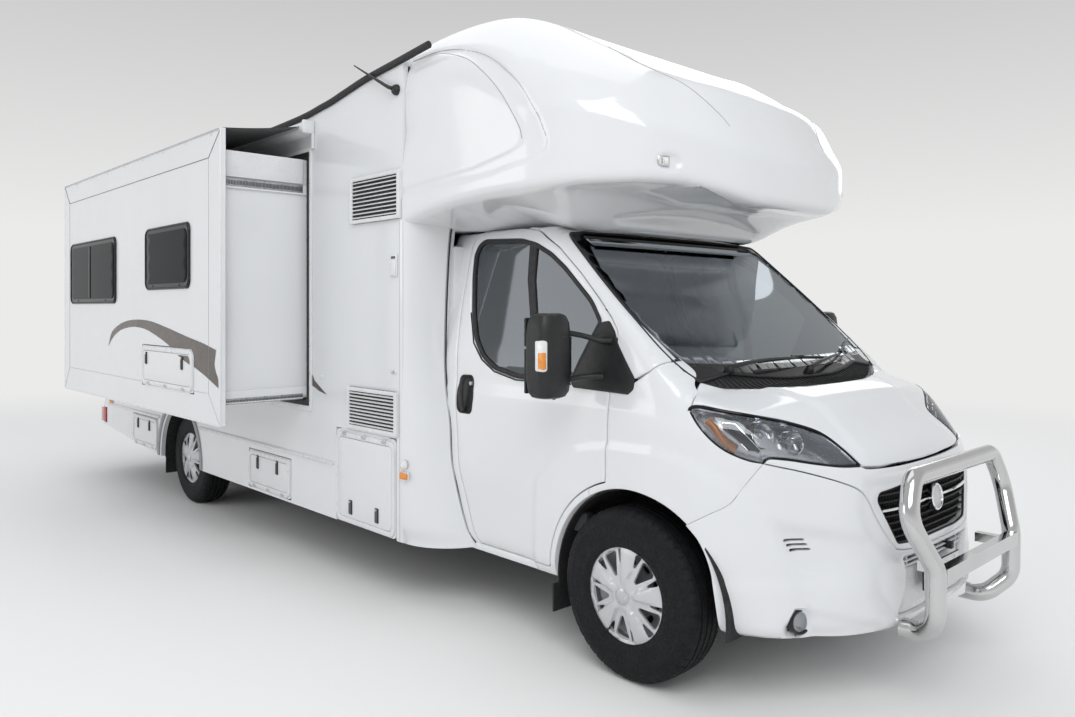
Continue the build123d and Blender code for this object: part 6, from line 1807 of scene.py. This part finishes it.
for k, (a, zz) in enumerate(((1.0, 2.845), (0.985, 2.862), (0.93, 2.876), (0.8, 2.884), (0.4, 2.887))):
    dome.append(ring(0.0, 3.25, 0.335 * a, 0.235 * a, zz, 6, 56))
loft(b, dome, 1)
b.done("roof_hatch_dome", ["trim_white", "smoked"], "roof_hatch", "roof_hatch_lid")

# ---------------------------------------------------------------- cab seats
def cushion(b, at, size, tilt, channels, bolster, crown=0.22, n=26, m=30):
    """Padded block: rounded closed form, crowned faces, sides drawn in, raised side bolsters, sewn channels."""
    hx, hy, hz = (q / 2 for q in size)
    turn = Matrix.Rotation(tilt, 3, "X")
    rings = []
    for i in range(n):
        a = math.pi * i / (n - 1)
        row = []
        for k in range(m):
            t = 2 * math.pi * k / m
            sx = math.copysign(abs(math.sin(a)) ** 0.34 * abs(math.cos(t)) ** 0.34, math.cos(t))
            sy = math.copysign(abs(math.sin(a)) ** 0.34 * abs(math.sin(t)) ** 0.34, math.sin(t))
            sz = math.copysign(abs(math.cos(a)) ** 0.55, -math.cos(a))
            x, y, z = sx * hx, sy * hy, sz * hz
            edge = abs(sx) ** 6
            z += (crown * hz * (1 - sx * sx) * (1 - sy * sy) + bolster * edge * (1 - abs(sy) ** 8)) * (1 if sz > 0.3
                else 0)
            for c in channels:
                if sz > 0.2:
                    z -= 0.007 * math.exp(-((sy * hy - c) / 0.006) ** 2) * (1 - edge)
                    z -= 0.005 * math.exp(-((abs(sx) * hx - hx * 0.66) / 0.006) ** 2)
            q = turn @ Vector((x, y, z)) + Vector(at)
            row.append(tuple(q))
        rings.append(row)
    return loft(b, rings)


for s, tag in ((-1, "right"), (1, "left")):
    x = 0.43 * s
    b = Build()
    b.box(x - 0.19, x + 0.19, 0.69, 1.03, 0.4, 0.47, 0.01, 0)
    b.box(x - 0.165, x + 0.165, 0.72, 1.0, 0.47, 0.69, 0.02, 0)
    b.box(x - 0.235, x + 0.235, 0.64, 1.11, 0.675, 0.715, 0.018, 0)
    for rod in (x - 0.05, x + 0.05):
        b.sweep([(rod, 1.225, 1.44), (rod, 1.24, 1.53)], 0.006, 1, 8)
    b.box(x + s * 0.25, x + s * 0.268, 0.7, 0.98, 0.7, 0.745, 0.008, 0)
    b.turn([(0, 0.02), (0.01, 0.02), (0.014, 0.016), (0.0142, 0)], (x + s * 0.268, 1.03, 0.745), (s, 0, 0), 20, 0)
    b.done("seat_base_" + tag, ["dash", "chrome"], replaces="seats" if s < 0 else ())
    for part, at, size, tilt, ch in (("cushion", (x, 0.865, 0.785), (0.5, 0.52, 0.15), 0.07,
            (-0.16, -0.05, 0.06, 0.17)), ("back", (x, 1.15, 1.135), (0.48, 0.69, 0.13), math.radians(80),
            (-0.24, -0.1, 0.04, 0.18)), ("headrest", (x, 1.235, 1.6), (0.26, 0.185, 0.1), math.radians(82), (0.0,))):
        b = Build()
        cushion(b, at, size, tilt, ch, bolster={"cushion": 0.02, "back": 0.026, "headrest": 0.006}[part])
        ob = b.done("seat_%s_%s" % (part, tag), ["fabric"], angle=50)

# ---------------------------------------------------------------- floor, sky and lamps
BACK = (0.83, 0.83, 0.825)            # background's colour at the horizon
FADE_FROM, FADE_TO = 4.5, 13          # metres over which the floor passes into it


def plain_stage(r=60):
    """Pale floor that keeps the shadow and passes into the background's colour far away."""
    me = bpy.data.meshes.new("floor")
    me.from_pydata([(-r, -r, 0), (r, -r, 0), (r, r, 0), (-r, r, 0)], [], [(0, 1, 2, 3)])
    ob = bpy.data.objects.new("floor", me)
    scene.collection.objects.link(ob)
    m, t, out = blank("studio_floor")
    dif = node(t, "ShaderNodeBsdfDiffuse", {0: (0.89, 0.882, 0.868, 1)})
    glow = node(t, "ShaderNodeEmission", {0: (*BACK, 1)})
    coord = node(t, "ShaderNodeTexCoord")
    dist = node(t, "ShaderNodeVectorMath", {1: (-0.5, 0.5, 0)}, operation="DISTANCE")
    t.links.new(coord.outputs["Object"], dist.inputs[0])
    fade = node(t, "ShaderNodeMapRange", {"From Min": FADE_FROM, "From Max": FADE_TO},
        interpolation_type="SMOOTHSTEP")
    t.links.new(dist.outputs["Value"], fade.inputs["Value"])
    mixed(t, fade.outputs[0], dif, glow, out)
    me.materials.append(m)


plain_stage()

# lamp light from the sky, and the plain background for camera, glossy and transmission rays
world = bpy.data.worlds.new("studio")
scene.world = world
world.use_nodes = True
t = world.node_tree
t.nodes.clear()
out = node(t, "ShaderNodeOutputWorld")
light = node(t, "ShaderNodeBackground", {"Strength": 0.7})
coord = node(t, "ShaderNodeTexCoord")
sep = node(t, "ShaderNodeSeparateXYZ")
t.links.new(coord.outputs["Generated"], sep.inputs[0])
sky = ramp(t, sep.outputs["Z"], [(0.0, (0.36, 0.365, 0.375)), (0.07, (0.42, 0.43, 0.44)),
    (0.13, (0.88, 0.905, 0.935)), (0.6, (0.975, 1.0, 1.035))])
t.links.new(sky.outputs[0], light.inputs[0])
back = node(t, "ShaderNodeBackground", {"Strength": 1.0})
fall = ramp(t, sep.outputs["Z"], [(0.0, BACK), (0.08, BACK), (0.36, (0.57, 0.57, 0.57))])
t.links.new(fall.outputs[0], back.inputs[0])
path = node(t, "ShaderNodeLightPath")
seen = path.outputs["Is Camera Ray"]
for kind in ("Is Glossy Ray", "Is Transmission Ray"):
    either = node(t, "ShaderNodeMath", operation="MAXIMUM")
    t.links.new(seen, either.inputs[0])
    t.links.new(path.outputs[kind], either.inputs[1])
    seen = either.outputs[0]
mixed(t, seen, light, back, out)


def area_lamp(name, at, to, size, power, color=(1, 1, 1)):
    d = bpy.data.lights.new(name, "AREA")
    d.shape = "RECTANGLE"
    d.size, d.size_y = size
    d.energy = power
    d.color = color
    ob = bpy.data.objects.new(name, d)
    scene.collection.objects.link(ob)
    ob.location = at
    ob.rotation_euler = (Vector(to) - Vector(at)).to_track_quat("-Z", "Y").to_euler()


area_lamp("key", (-4.5, -6.5, 6.5), (0, 0, 1.2), (5, 4), 200)
area_lamp("top", (0.5, 0.5, 8.0), (0, 0, 0), (7, 9), 135)
area_lamp("window", (7.5, 1.2, 5.3), (0.3, 0.1, 1.5), (5.5, 4.5), 95, (0.95, 0.98, 1.0))
area_lamp("fill", (-8, 3.5, 3.5), (0, 0.5, 1.3), (5, 3.5), 80)

# ---------------------------------------------------------------- looks of the CAD's own nodes
NODE_LOOKS = [
    (("tyre_",), "tyre"), (("wheel_",), "silver"),
    (("chassis", "front_sub", "rear_axle", "knuckle", "tow_", "engine"), "chassis"), (("arch_liners",), "liner"),
    (("dashboard",), "dash"), (("seats",), "fabric"), (("windscreen",), "screen_glass"),
    (("cab_door_glass",), "side_glass"), (("body_windows", "slide_windows"), "dark_glass"),
    (("door_mirror", "scuttle", "grille"), "plastic_black"), (("headlamps",), "lamp_white"),
    (("bull_bar",), "steel"), (("tail_lamps",), "lamp_red"), (("topper_cloth",), "topper"),
    (("slide_frame", "topper_roller"), "trim_white"),
    (("overcab", "side_fillers", "skirts", "rear_bumper"), "gelcoat"),
    (("wall_", "roof", "slide_", "locker_door", "entry"), "wall"), (("locker_tubs", "floor"), "floor_ply"),
    (("cab_", "bonnet", "front_bumper"), "paint"), (("air_cond", "awning"), "trim_white"), (("",), "wall")]
for name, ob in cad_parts.items():
    look = M[next(look for starts, look in NODE_LOOKS if name.startswith(starts))]
    if not ob.data.materials:
        ob.data.materials.append(look)
    for i in range(len(ob.data.materials)):
        ob.data.materials[i] = look
